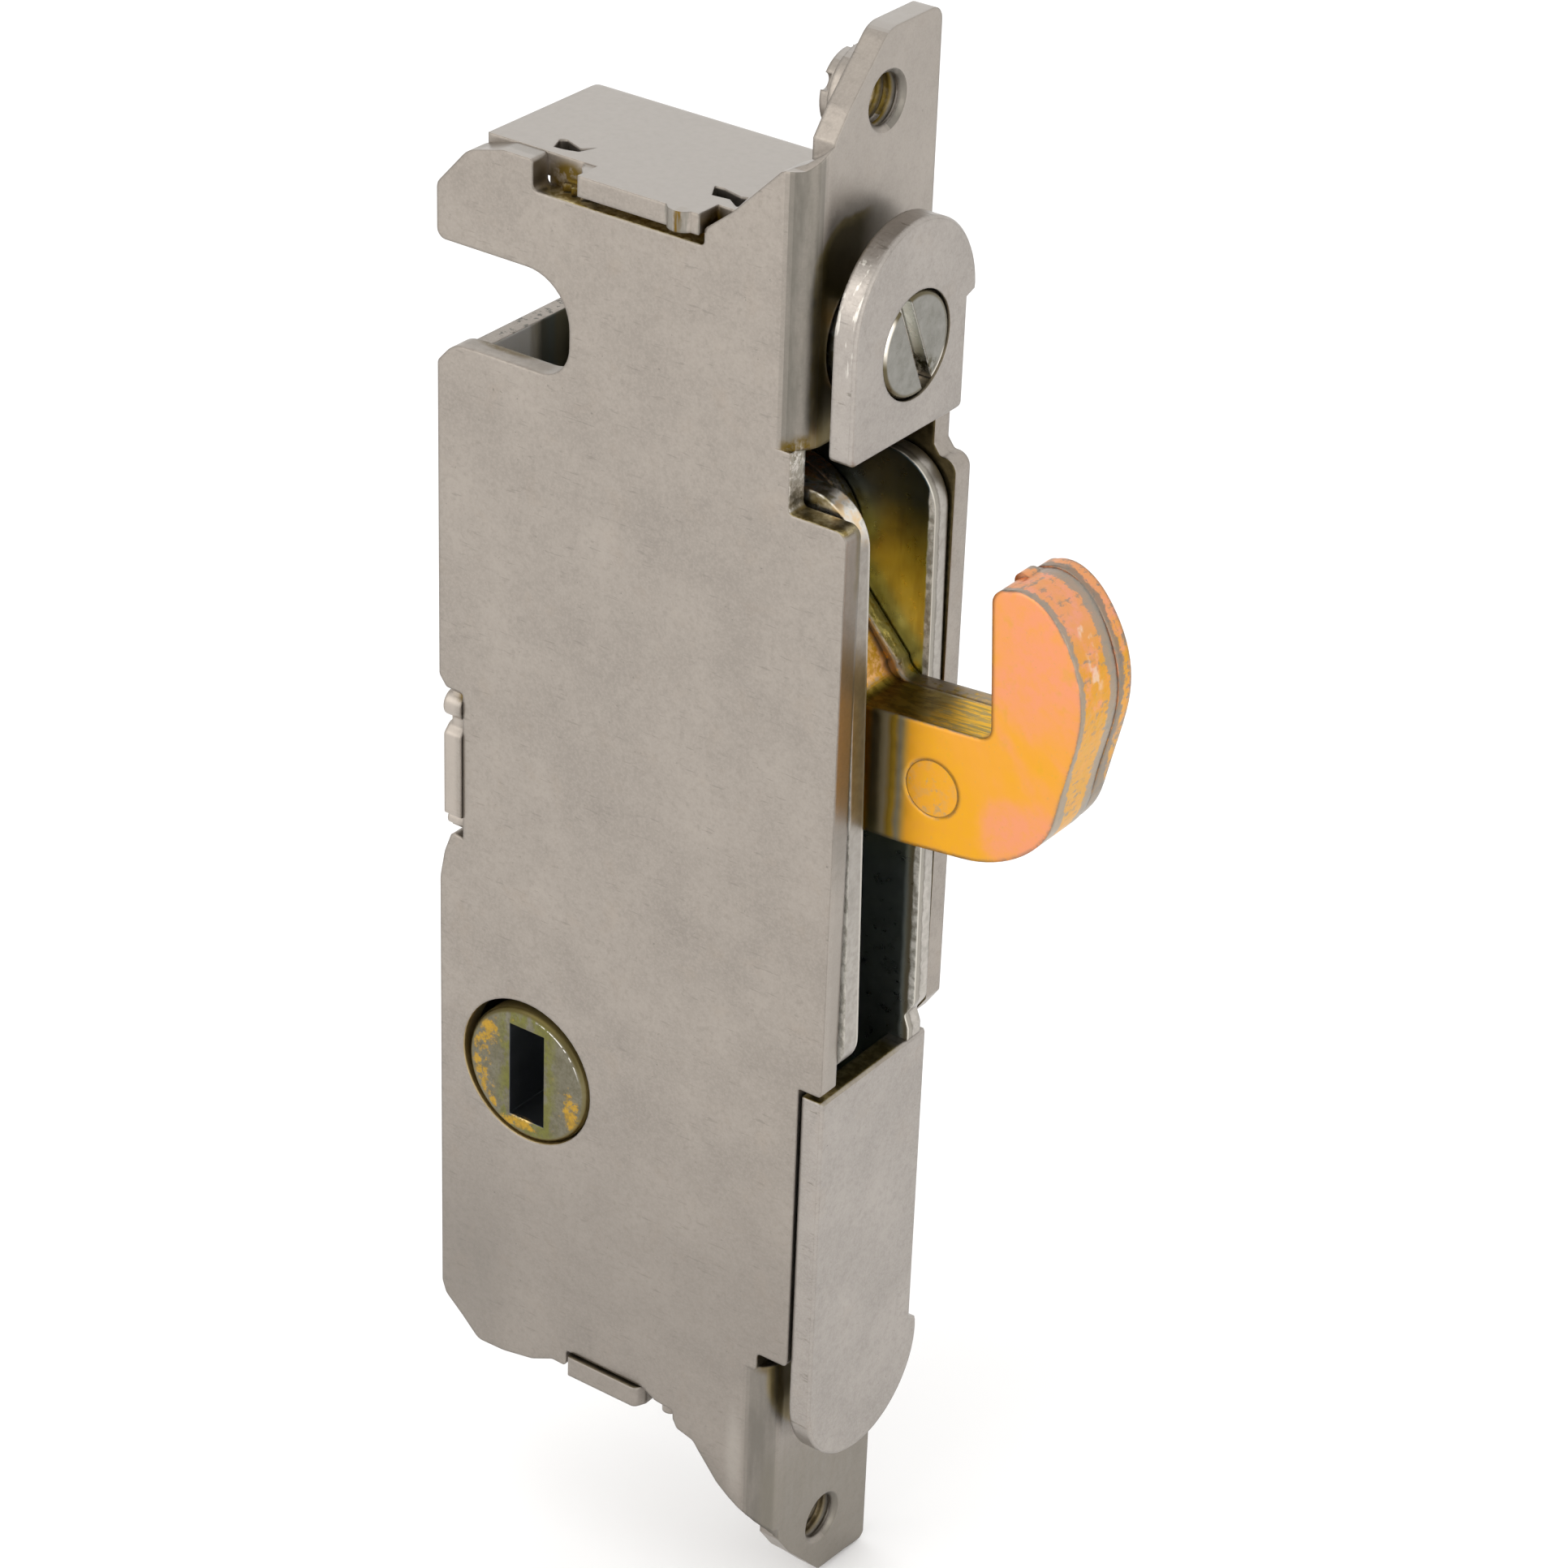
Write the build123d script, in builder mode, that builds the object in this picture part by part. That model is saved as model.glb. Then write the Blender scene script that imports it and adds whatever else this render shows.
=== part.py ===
from build123d import *
import math
import os

os.makedirs("parts", exist_ok=True)

# ---------------------------------------------------------------------------
# Mortise hook lock, millimetres.
# Origin: midway between the two ear screw holes, on the ears' front plane.
# +X out of the door edge (the way the hook points), +Z up, +Y away from the
# cover plate that carries the ears.
# ---------------------------------------------------------------------------

# Driving dimensions
ear_pitch = 93.66            # ear screw holes, 3-11/16 in
ear_hole_r = 1.45            # ear hole, crests of its thread
ear_groove_r = 1.72          # roots of its thread
sheet = 1.4                  # case and cover sheet
cover_out, cover_in = -6.65, -5.25      # cover plate faces (Y)
far_in, far_out = 3.65, 5.05            # far plate faces (Y)
wall_n_out, wall_n_in = -4.95, -3.65    # near carriage wall faces (Y)
wall_f_in, wall_f_out = 2.15, 3.45      # far carriage wall faces (Y)
plate_front, plate_back = 3.06, 1.66    # D-shaped face plates (X)
plate_y = -0.82                         # their middle (Y)
plate_r = 5.65
plate_top = -11.38                      # top edge of the lower face plate (Z)
hook_n_out, hook_mid, hook_f_out = -2.85, 0.85, 2.05   # hook plates (Y)
pivot_x, pivot_z = -6.0, 20.0           # hook pivot
tail_r = 7.5                            # hook tail pin's radius
hub_x, hub_z = -18.40, -18.20           # cam hub
hole_x, hole_z = -18.39, -17.9          # its loose hole in the cover
hub_face_r, hub_hole_r = 4.52, 4.87
hub_core_r = 4.3
journal_r, journal_hole_r = 4.0, 4.05
slot_w, slot_h = 2.65, 6.5              # tailpiece slot
crank_r = 10.6                          # crank pin's radius
pin_r = 1.2                             # tail pin and crank pin
lift = 10.6                             # travel of the lift slide
screw_y, screw_z = -0.71, 34.05         # adjusting screw
screw_r, screw_head_r = 2.0, 3.04
screw_lead = 0.79375                    # 32 threads to the inch
adjust = 3 * screw_lead                 # the carriage's travel
nut_x = -9.4                            # middle of the adjusting nut
nut_rivet_r = 1.8
bridge_front, bridge_back = -4.0, -6.4  # carriage bridge (X)
stud_r = 1.5
sleeve_r = 3.6                          # screw sleeve, through the ear
back_x = -25.0                          # cover's back edge
flange_out, flange_in = -24.25, -23.15  # back flange faces (X)


def outline(*corners):
    """Closed outline through (x, y) or (x, y, radius) corners; run it inside a BuildLine block."""
    n = len(corners)
    starts, ends, mids = [], [], []
    for i, corner in enumerate(corners):
        x, y = corner[0], corner[1]
        r = corner[2] if len(corner) > 2 else 0
        px, py = corners[i - 1][0], corners[i - 1][1]
        qx, qy = corners[(i + 1) % n][0], corners[(i + 1) % n][1]
        if r <= 0:
            starts.append((x, y))
            ends.append((x, y))
            mids.append(None)
            continue
        ax, ay = px - x, py - y
        bx, by = qx - x, qy - y
        la, lb = math.hypot(ax, ay), math.hypot(bx, by)
        ax, ay, bx, by = ax / la, ay / la, bx / lb, by / lb
        half = math.acos(max(-1, min(1, ax * bx + ay * by))) / 2
        t = r / math.tan(half)
        mx, my = ax + bx, ay + by
        lm = math.hypot(mx, my)
        d = r / math.sin(half)
        cx, cy = x + mx / lm * d, y + my / lm * d
        starts.append((x + ax * t, y + ay * t))
        ends.append((x + bx * t, y + by * t))
        mids.append((cx - mx / lm * r, cy - my / lm * r))
    for i in range(n):
        if mids[i] is not None:
            ThreePointArc(starts[i], mids[i], ends[i])
        a, b = ends[i], starts[(i + 1) % n]
        if math.hypot(a[0] - b[0], a[1] - b[1]) > 1e-6:
            Line(a, b)


def polar(cx, cz, r, deg):
    return (cx + r * math.cos(math.radians(deg)), cz + r * math.sin(math.radians(deg)))


# A sketch on the XZ plane at height y, seen from the near side (X right, Z up).
def at_y(y):
    return Plane.XZ.offset(-y)


# A sketch on the YZ plane at x (Y right, Z up).
def at_x(x):
    return Plane.YZ.offset(x)


ear_top_z = ear_pitch / 2
ear_low_z = -ear_pitch / 2

# ---------------------------------------------------------------------------
# Near cover: side plate with two ears bent from its front edge
# ---------------------------------------------------------------------------
with BuildPart() as near_cover:
    with BuildSketch(at_y(cover_in)):
        with BuildLine():
            outline(
                (back_x, 37.66, 0.8), (-22.83, 40.1, 1.5), (-20.4, 40.75, 1.0),
                (-18.35, 40.75, 0.25), (-18.35, 38.95, 0.35), (-6.72, 38.95, 0.25),
                (-6.72, 39.95, 0.4), (-5.0, 41.3, 0.8),
                (-1.9, 44.4), (-1.9, 28.7), (-0.7, 28.7), (-0.7, 25.1, 0.35),
                (3.12, 25.1, 0.7), (3.12, -10.8, 0.25), (1.46, -10.8, 0.2),
                (1.46, -30.6, 0.3), (-0.72, -30.6, 0.3), (-0.72, -31.9, 0.3), (-1.9, -31.9),
                (-1.9, -42.62), (-2.59, -42.19), (-3.4, -41.56, 2.0), (-4.9, -39.76), (-5.25, -39.3, 0.6),
                (-6.5, -38.97, 0.3), (-6.8, -38.4), (-6.85, -37.8, 0.2), (-8.2, -37.65),
                (-9.2, -37.12, 0.2), (-15.1, -37.1, 0.2), (-15.1, -38.3, 0.3), (-16.2, -38.26, 0.6),
                (-17.8, -38.99, 1.5), (-20.1, -39.41, 3.0), (-22.1, -39.45, 0.8),
                (-23.38, -38.21), (-24.7, -37.05, 0.8), (back_x, -36.2, 0.8),
                (back_x, -6.65, 2.5), (-24.66, -4.79, 2.0), (-24.1, -3.3, 0.3),
                (-23.25, -3.5), (-23.25, 6.3, 0.2), (-24.48, 6.35, 0.3),
                (back_x, 7.04, 0.5), (back_x, 27.0, 0.5), (-23.9, 28.25, 1.5),
                (-22.2, 28.33, 1.0), (-15.67, 28.33, 2.1), (-15.67, 34.42, 3.02),
                (back_x, 34.42, 0.6),
            )
        make_face()
    extrude(amount=sheet)
    # bent strips that become the ears
    for z_low, z_high in ((28.7, 50.85), (-51.3, -31.9)):
        with BuildSketch(Plane.XY.offset(z_low)):
            with BuildLine():
                Line((-1.9, cover_out), (-1.9, cover_in))
                Line((-1.9, cover_in), (-1.4, cover_in + 0.5))
                Line((-1.4, cover_in + 0.5), (-1.4, 4.76))
                Line((-1.4, 4.76), (0, 4.76))
                Line((0, 4.76), (0, cover_out + 1.9))
                ThreePointArc(
                    (0, cover_out + 1.9),
                    (-1.9 + 1.9 * math.cos(math.radians(45)), cover_out + 1.9 - 1.9 * math.sin(math.radians(45))),
                    (-1.9, cover_out),
                )
            make_face()
        extrude(amount=z_high - z_low)
    # the ears' outlines, cut from the strips
    with BuildSketch(at_x(-1.9)):
        with BuildLine():
            outline((-8, 44.2), (-6.2, 44.6), (-4.75, 45.7, 1.5), (-3.5, 47.3), (-1.35, 49.5),
                    (-0.1, 50.82, 1.6), (4.76, 50.84, 0.9), (4.76, 48), (8, 48), (8, 54), (-8, 54))
        make_face()
        with BuildLine():
            outline((-8, -42.0), (-6.65, -43.3), (-4.75, -45.5), (-3.39, -47.42), (-1.97, -48.87, 1.0),
                    (-0.15, -50.8, 0.5), (2.7, -51.05), (4.6, -51.28, 0.5), (4.8, -50.7, 0.3),
                    (4.76, -48), (8, -48), (8, -54), (-8, -54))
        make_face()
    extrude(amount=1.95, mode=Mode.SUBTRACT)
    # the slanting edges carried round the two bends
    with BuildSketch(at_y(cover_in + 0.6)):
        with BuildLine():
            outline((-1.9, 44.4), (-0.9, 44.85), (-0.3, 45.3), (0.2, 45.9), (0.2, 53), (-1.9, 53))
        make_face()
        with BuildLine():
            outline((-1.9, -42.62), (-1.41, -42.92), (-0.95, -43.3), (-0.56, -43.76), (-0.25, -44.26),
                    (-0.06, -44.84), (0, -45.5), (0.2, -46.6), (0.2, -53), (-1.9, -53))
        make_face()
    extrude(amount=2.2, mode=Mode.SUBTRACT)
    # cam hub hole
    with BuildSketch(at_y(cover_in)):
        with Locations((hole_x, hole_z)):
            Circle(hub_hole_r)
    extrude(amount=sheet, mode=Mode.SUBTRACT)
    # extruded collars behind the ear holes, torn a little at their ends
    for zc, turn in ((ear_top_z, 10), (ear_low_z, 40)):
        with BuildSketch(at_x(-2.0)):
            with Locations((0, zc)):
                Circle(2.7)
        extrude(amount=0.8)
        with BuildSketch(at_x(-2.75)):
            with Locations((0, zc)):
                Circle(2.3)
        extrude(amount=0.9)
        with BuildSketch(at_x(-3.1)):
            for k, deep in enumerate((0.40, 0.30, 0.46, 0.34, 0.42)):
                a = math.radians(turn + 72 * k)
                with Locations((2.2 * math.cos(a), zc + 2.2 * math.sin(a))):
                    Circle(deep)
        extrude(amount=0.75, mode=Mode.SUBTRACT)
        # countersunk, threaded hole: bore with three thread grooves
        with BuildSketch(at_x(-3.1)):
            with Locations((0, zc)):
                Circle(ear_hole_r)
        extrude(amount=3.2, mode=Mode.SUBTRACT)
        with BuildSketch(Plane.XY.offset(zc)):
            with BuildLine():
                Polyline((0.05, 0), (0.05, ear_groove_r + 0.08), (-0.3, ear_hole_r - 0.03), (-0.3, 0), close=True)
            make_face()
            for k in range(3):
                xc = -0.72 - k * screw_lead
                with BuildLine():
                    Polyline((xc - 0.27, ear_hole_r - 0.05), (xc, ear_groove_r),
                             (xc + 0.27, ear_hole_r - 0.05), close=True)
                make_face()
        revolve(axis=Axis((0, 0, zc), (1, 0, 0)), revolution_arc=360, mode=Mode.SUBTRACT)
    # window through the top ear for the screw sleeve
    with BuildSketch(at_x(-1.5)):
        with Locations((screw_y, screw_z)):
            Circle(sleeve_r + 0.4)
    extrude(amount=1.6, mode=Mode.SUBTRACT)
near_cover.part.label = "near_cover"
export_step(near_cover.part, "parts/near_cover.step")

# ---------------------------------------------------------------------------
# Case shell: far plate with folded top, back and bottom flanges and three tabs
# ---------------------------------------------------------------------------
with BuildPart() as case_shell:
    with BuildSketch(at_y(far_out)):
        with BuildLine():
            outline(
                (-24.5, 34.42, 0.4), (-24.5, 37.0, 0.5), (-22.5, 39.4, 0.5), (-22.5, 39.8),
                (-1.7, 39.8), (-1.7, 28.3), (1.65, 28.3, 0.3), (1.65, 26.2, 0.2), (2.1, 25.6, 0.3),
                (3.16, 25.6, 0.8), (3.16, -9.15, 0.4), (2.26, -10.5), (1.46, -10.5),
                (1.46, -31.3, 0.4), (-1.7, -31.3), (-1.7, -37.6), (-21.5, -37.6),
                (-23.5, -36.9), (-23.5, 27.6), (-22.2, 28.33, 1.0), (-15.67, 28.33, 2.1),
                (-15.67, 34.42, 3.02),
            )
        make_face()
    extrude(amount=sheet)
    # top flange with its bend
    with BuildSketch(at_x(-22.5)):
        with BuildLine():
            outline((cover_in, 39.4), (cover_in, 40.8), (far_out, 40.8, 1.0), (far_out, 38.6), (far_in, 38.6), (far_in, 39.4))
        make_face()
    extrude(amount=20.4)
    # back flange with its bend
    with BuildSketch(Plane.XY.offset(-36.0)):
        with BuildLine():
            outline((flange_out, cover_in), (flange_in, cover_in), (flange_in, far_in), (-22.3, far_in), (-22.3, far_out), (flange_out, far_out, 1.0))
        make_face()
    extrude(amount=63.6)
    # bottom flange with its bend
    with BuildSketch(at_x(-21.5)):
        with BuildLine():
            outline((cover_in, -38.6), (cover_in, -37.2), (far_in, -37.2), (far_in, -36.6), (far_out, -36.6), (far_out, -38.6, 1.0))
        make_face()
    extrude(amount=19.4)
    # rounded corners of the top flange, seen from above
    with BuildSketch(Plane.XY.offset(38.6)):
        with BuildLine():
            Line((-23.0, far_out + 0.5), (-23.0, far_out - 1.3))
            Line((-23.0, far_out - 1.3), (-22.5, far_out - 1.3))
            ThreePointArc((-22.5, far_out - 1.3), (-22.12, far_out - 0.38), (-21.2, far_out))
            Line((-21.2, far_out), (-21.2, far_out + 0.5))
            Line((-21.2, far_out + 0.5), (-23.0, far_out + 0.5))
        make_face()
        # torn slivers each side of the top tab
        with BuildLine():
            outline((-18.5, -4.62), (-18.95, -3.5, 0.2), (-18.6, -3.3, 0.2), (-17.2, -3.85), (-16.6, -3.2),
                    (-17.0, -4.3, 0.2), (-17.85, -4.55))
        make_face()
        with BuildLine():
            outline((-8.6, -3.3, 0.1), (-7.95, -4.45, 0.1), (-6.85, -4.3), (-5.85, -5.0, 0.1), (-6.25, -3.4, 0.1),
                    (-6.6, -3.6), (-8.0, -3.25))
        make_face()
    extrude(amount=3.0, mode=Mode.SUBTRACT)
    # torn web left under the top flange beside and below the tab
    with BuildSketch(at_y(cover_in + 0.5)):
        with BuildLine():
            outline((-18.2, 39.6), (-18.2, 38.85, 0.2), (-15.1, 38.72, 0.2), (-6.9, 38.85, 0.2), (-6.9, 39.6))
        make_face()
    extrude(amount=0.5)
    with BuildSketch(Plane.XY.offset(39.0)):
        with BuildLine():
            outline((-17.1, cover_in + 0.1), (-16.95, -5.75), (-16.5, -5.5), (-16.2, -5.95), (-15.75, -5.6),
                    (-15.4, -6.15), (-15.0, -5.7), (-14.8, cover_in + 0.1))
        make_face()
    extrude(amount=0.42)
    # folded flap at the tab's left end
    with BuildSketch(Plane.XY.offset(39.5)):
        with BuildLine():
            outline((-15.9, cover_in + 0.1), (-15.65, -5.75), (-15.0, -6.5), (-14.8, -6.4), (-14.8, cover_in + 0.1))
        make_face()
    extrude(amount=1.2)
    # staked tabs through the cover's notches
    with BuildSketch(Plane.XY.offset(39.6)):
        with Locations((-10.95, -5.9)):
            Rectangle(8.1, 2.1)
        with Locations((-8.2, -6.45)):
            Circle(0.95)
    extrude(amount=1.2)
    with BuildSketch(Plane.XY.offset(-38.65)):
        with BuildLine():
            outline((-14.8, cover_in + 0.2), (-14.8, -6.95, 0.15), (-9.55, -6.95, 0.45), (-9.2, -6.2, 0.3), (-9.2, cover_in + 0.2))
        make_face()
    extrude(amount=1.4)
    with BuildSketch(Plane.XY.offset(-38.4)):
        with Locations((-7.5, -5.9)):
            Circle(0.55)
        with Locations((-7.9, -5.4)):
            Rectangle(1.4, 0.8)
    extrude(amount=0.52)
    with BuildSketch(at_x(-24.5)):
        with BuildLine():
            outline((cover_in + 0.2, -2.2), (-6.85, -2.05, 0.2), (-6.85, 3.4, 0.3), (-6.3, 3.95, 0.5), (cover_in + 0.2, 3.95))
        make_face()
        with Locations((-6.05, 5.2)):
            Circle(0.85)
        with Locations((-6.1, -2.5)):
            Circle(0.45)
    extrude(amount=1.2)
    with BuildSketch(at_x(-24.2)):
        with Locations((-5.75, 1.65)):
            Rectangle(1.4, 9.0)
    extrude(amount=0.9)
    # journal hole of the cam hub and the nut's rivet hole
    with BuildSketch(at_y(far_out)):
        with Locations((hub_x, hub_z)):
            Circle(journal_hole_r)
        with Locations((nut_x, screw_z)):
            Circle(nut_rivet_r)
    extrude(amount=sheet, mode=Mode.SUBTRACT)
case_shell.part.label = "case_shell"
export_step(case_shell.part, "parts/case_shell.step")

# ---------------------------------------------------------------------------
# Carriage: two walls, spacers, bridge block and two D-shaped face plates
# ---------------------------------------------------------------------------
post_spots = ((-2.2, -28.8), (-8.9, -29.2))
post_r = 1.8
guide_spots = ((-12.5, 10.4), (-10.0, -5.0))
anchor_x, anchor_z = -18.9, 9.0        # detent spring's rivet
rivet_hole_r = 1.0

wall_front_near = ((plate_back, -10.85, 0.4), (3.42, -8.9, 2.2), (2.6, 26.0, 3.2))
wall_front_far = (
    (plate_back, plate_top), (3.0, plate_top), (3.0, -10.6, 0.2), (2.68, -9.75, 0.3), (3.32, -8.75, 1.0), (2.88, 26.0, 3.2),
)


def wall_corners(front):
    return (
        (plate_back, -31.3), *front,
        (bridge_front, 26.0, 0.6), (bridge_front, 38.5, 0.4), (-15.2, 38.5, 1.0), (-15.2, 26.0, 0.8),
        (-21.4, 26.0, 1.5), (-21.4, -8.5, 0.8), (-11.2, -8.5, 0.6), (-11.2, -31.3, 0.8),
    )


with BuildPart() as carriage_near_wall:
    with BuildSketch(at_y(wall_n_in)):
        with BuildLine():
            outline(*wall_corners(wall_front_near))
        make_face()
        with Locations(post_spots[0], post_spots[1]):
            Circle(rivet_hole_r, mode=Mode.SUBTRACT)
        with Locations(guide_spots[0], guide_spots[1], (anchor_x, anchor_z)):
            Circle(rivet_hole_r, mode=Mode.SUBTRACT)
        with Locations((pivot_x, pivot_z)):
            Circle(2.5, mode=Mode.SUBTRACT)
    extrude(amount=wall_n_in - wall_n_out)
carriage_near_wall.part.label = "carriage_near_wall"
export_step(carriage_near_wall.part, "parts/carriage_near_wall.step")

with BuildPart() as carriage_far_wall:
    with BuildSketch(at_y(wall_f_out)):
        with BuildLine():
            outline(*wall_corners(wall_front_far))
        make_face()
        with Locations(post_spots[0], post_spots[1]):
            Circle(rivet_hole_r, mode=Mode.SUBTRACT)
        with Locations((pivot_x, pivot_z)):
            Circle(2.5, mode=Mode.SUBTRACT)
        # slot that clears the nut's rivet while the carriage is adjusted
        with Locations((nut_x - adjust / 2, screw_z)):
            SlotCenterToCenter(adjust + 0.2, 2 * nut_rivet_r + 0.4, mode=Mode.SUBTRACT)
    extrude(amount=wall_f_out - wall_f_in)
carriage_far_wall.part.label = "carriage_far_wall"
export_step(carriage_far_wall.part, "parts/carriage_far_wall.step")

with BuildPart() as carriage_spacers:
    with BuildSketch(at_y(wall_f_in)):
        with Locations(post_spots[0], post_spots[1]):
            Circle(post_r)
    extrude(amount=wall_f_in - wall_n_in)
    with BuildSketch(at_y(wall_f_out)):
        with Locations(post_spots[0], post_spots[1]):
            Circle(rivet_hole_r)
    extrude(amount=wall_f_out - wall_n_out)
carriage_spacers.part.label = "carriage_spacers"
export_step(carriage_spacers.part, "parts/carriage_spacers.step")

with BuildPart() as carriage_bridge:
    with BuildSketch(at_x(bridge_back)):
        with BuildLine():
            outline((wall_n_in, 29.6, 0.4), (wall_f_in, 29.6, 0.4), (wall_f_in, 38.3, 0.4), (wall_n_in, 38.3, 0.4))
        make_face()
        with Locations((screw_y, screw_z)):
            Circle(screw_r + 0.06, mode=Mode.SUBTRACT)
    extrude(amount=bridge_front - bridge_back)
carriage_bridge.part.label = "carriage_bridge"
export_step(carriage_bridge.part, "parts/carriage_bridge.step")

with BuildPart() as top_face_plate:
    with BuildSketch(at_x(plate_back)):
        with BuildLine():
            Line((-6.45, 29.35), (-6.45, 35.7))
            ThreePointArc((-6.45, 35.7), (plate_y, 35.6 + plate_r - 0.05), (4.82, 35.9))
            Line((4.82, 35.9), (4.78, 35.45))
            Line((4.78, 35.45), (4.05, 35.2))
            Line((4.05, 35.2), (4.05, 29.2))
            ThreePointArc((4.05, 29.2), (3.93, 28.88), (3.6, 28.75))
            Line((3.6, 28.75), (-5.85, 28.75))
            ThreePointArc((-5.85, 28.75), (-6.27, 28.93), (-6.45, 29.35))
        make_face()
        with Locations((screw_y, screw_z)):
            Circle(screw_head_r + 0.08, mode=Mode.SUBTRACT)
    extrude(amount=plate_front - plate_back)
    top_edges = top_face_plate.edges().filter_by_position(Axis.X, plate_front - 0.01, plate_front + 0.01)
    outer = [e for e in top_edges if e.geom_type != GeomType.CIRCLE or e.radius > 4]
    chamfer(outer, 0.16)
top_face_plate.part.label = "top_face_plate"
export_step(top_face_plate.part, "parts/top_face_plate.step")

with BuildPart() as bottom_face_plate:
    with BuildSketch(at_x(plate_back)):
        with BuildLine():
            Line((-6.45, plate_top), (-6.45, -33.2))
            ThreePointArc((-6.45, -33.2), (plate_y, -33.3 - plate_r), (4.82, -33.4))
            Line((4.82, -33.4), (4.78, -32.75))
            Line((4.78, -32.75), (4.05, -32.3))
            Line((4.05, -32.3), (4.05, plate_top - 0.2))
            ThreePointArc((4.05, plate_top - 0.2), (3.99, plate_top - 0.06), (3.85, plate_top))
            Line((3.85, plate_top), (-6.45, plate_top))
        make_face()
    extrude(amount=plate_front - plate_back)
    low_edges = bottom_face_plate.edges().filter_by_position(Axis.X, plate_front - 0.01, plate_front + 0.01)
    chamfer(low_edges, 0.16)
bottom_face_plate.part.label = "bottom_face_plate"
export_step(bottom_face_plate.part, "parts/bottom_face_plate.step")

with BuildPart() as screw_sleeve:
    with BuildSketch(at_x(bridge_front)):
        with Locations((screw_y, screw_z)):
            Circle(sleeve_r)
            Circle(screw_r + 0.06, mode=Mode.SUBTRACT)
    extrude(amount=plate_back - bridge_front)
screw_sleeve.part.label = "screw_sleeve"
export_step(screw_sleeve.part, "parts/screw_sleeve.step")

# ---------------------------------------------------------------------------
# Adjusting screw, its clip and the nut riveted to the case shell
# ---------------------------------------------------------------------------
with BuildPart() as adjusting_screw:
    with BuildSketch(at_x(plate_back + 0.02)):
        with Locations((screw_y, screw_z)):
            Circle(screw_head_r)
    extrude(amount=plate_front - plate_back - 0.02)
    with BuildSketch(at_x(-15.0)):
        with Locations((screw_y, screw_z)):
            Circle(screw_r)
    extrude(amount=15.0 + plate_back + 0.1)
    # groove for the retaining clip
    with BuildSketch(at_x(bridge_back - 0.95)):
        with Locations((screw_y, screw_z)):
            Circle(screw_r + 0.3)
            Circle(screw_r - 0.45, mode=Mode.SUBTRACT)
    extrude(amount=0.9, mode=Mode.SUBTRACT)
    # driver slot, lying diagonally as it was left
    with BuildSketch(at_x(plate_front)):
        with Locations((screw_y, screw_z)):
            Rectangle(1.0, 8.0, rotation=24)
    extrude(amount=-0.9, mode=Mode.SUBTRACT)
    chamfer(adjusting_screw.edges().filter_by(GeomType.CIRCLE).filter_by_position(Axis.X, plate_front - 0.01, plate_front + 0.01), 0.18)
adjusting_screw.part.label = "adjusting_screw"
export_step(adjusting_screw.part, "parts/adjusting_screw.step")

with BuildPart() as screw_retaining_clip:
    with BuildSketch(at_x(bridge_back - 0.9)):
        with Locations((screw_y, screw_z)):
            Circle(2.75)
            Circle(screw_r - 0.4, mode=Mode.SUBTRACT)
        with Locations((screw_y, screw_z - 3.2)):
            Rectangle(2.4, 4.0, mode=Mode.SUBTRACT)
    extrude(amount=0.8)
screw_retaining_clip.part.label = "screw_retaining_clip"
export_step(screw_retaining_clip.part, "parts/screw_retaining_clip.step")

with BuildPart() as adjusting_nut:
    with BuildSketch(at_x(nut_x - 1.9)):
        with BuildLine():
            outline((-3.5, screw_z - 3.0, 0.3), (2.0, screw_z - 3.0, 0.3), (2.0, screw_z + 3.0, 0.3), (-3.5, screw_z + 3.0, 0.3))
        make_face()
        with Locations((screw_y, screw_z)):
            Circle(screw_r + 0.05, mode=Mode.SUBTRACT)
    extrude(amount=3.8)
    with BuildSketch(at_y(far_out)):
        with Locations((nut_x, screw_z)):
            Circle(nut_rivet_r)
    extrude(amount=far_out - 2.0)
adjusting_nut.part.label = "adjusting_nut"
export_step(adjusting_nut.part, "parts/adjusting_nut.step")

# ---------------------------------------------------------------------------
# Hook: a thick and a thin plate riveted together, on a pivot pin
# ---------------------------------------------------------------------------
tail_x, tail_z = polar(pivot_x, pivot_z, tail_r, 225)
rivet_x, rivet_z, rivet_r = 6.95, 9.27, 1.72
boss_r = 4.3

near_claw = ((11.0, 22.82), (12.5, 22.97), (13.5, 22.5), (14.6, 21.35), (15.4, 19.95), (15.93, 18.4),
             (16.12, 16.8), (15.9, 14.8), (15.4, 12.6), (15.05, 10.9), (14.6, 9.2), (13.6, 7.75),
             (12.05, 6.58), (10.0, 5.79), (7.8, 5.5), (5.65, 5.24), (3.0, 5.08))
far_claw = ((11.0, 22.88), (12.5, 23.0), (13.6, 22.42), (14.7, 21.22), (15.5, 19.85), (16.02, 18.3),
            (16.17, 16.8), (15.93, 14.75), (15.42, 12.5), (15.05, 10.8), (14.62, 9.35), (13.7, 7.95),
            (12.1, 6.48), (9.98, 5.7), (7.8, 5.45), (5.65, 5.2), (3.0, 5.02))


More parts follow.
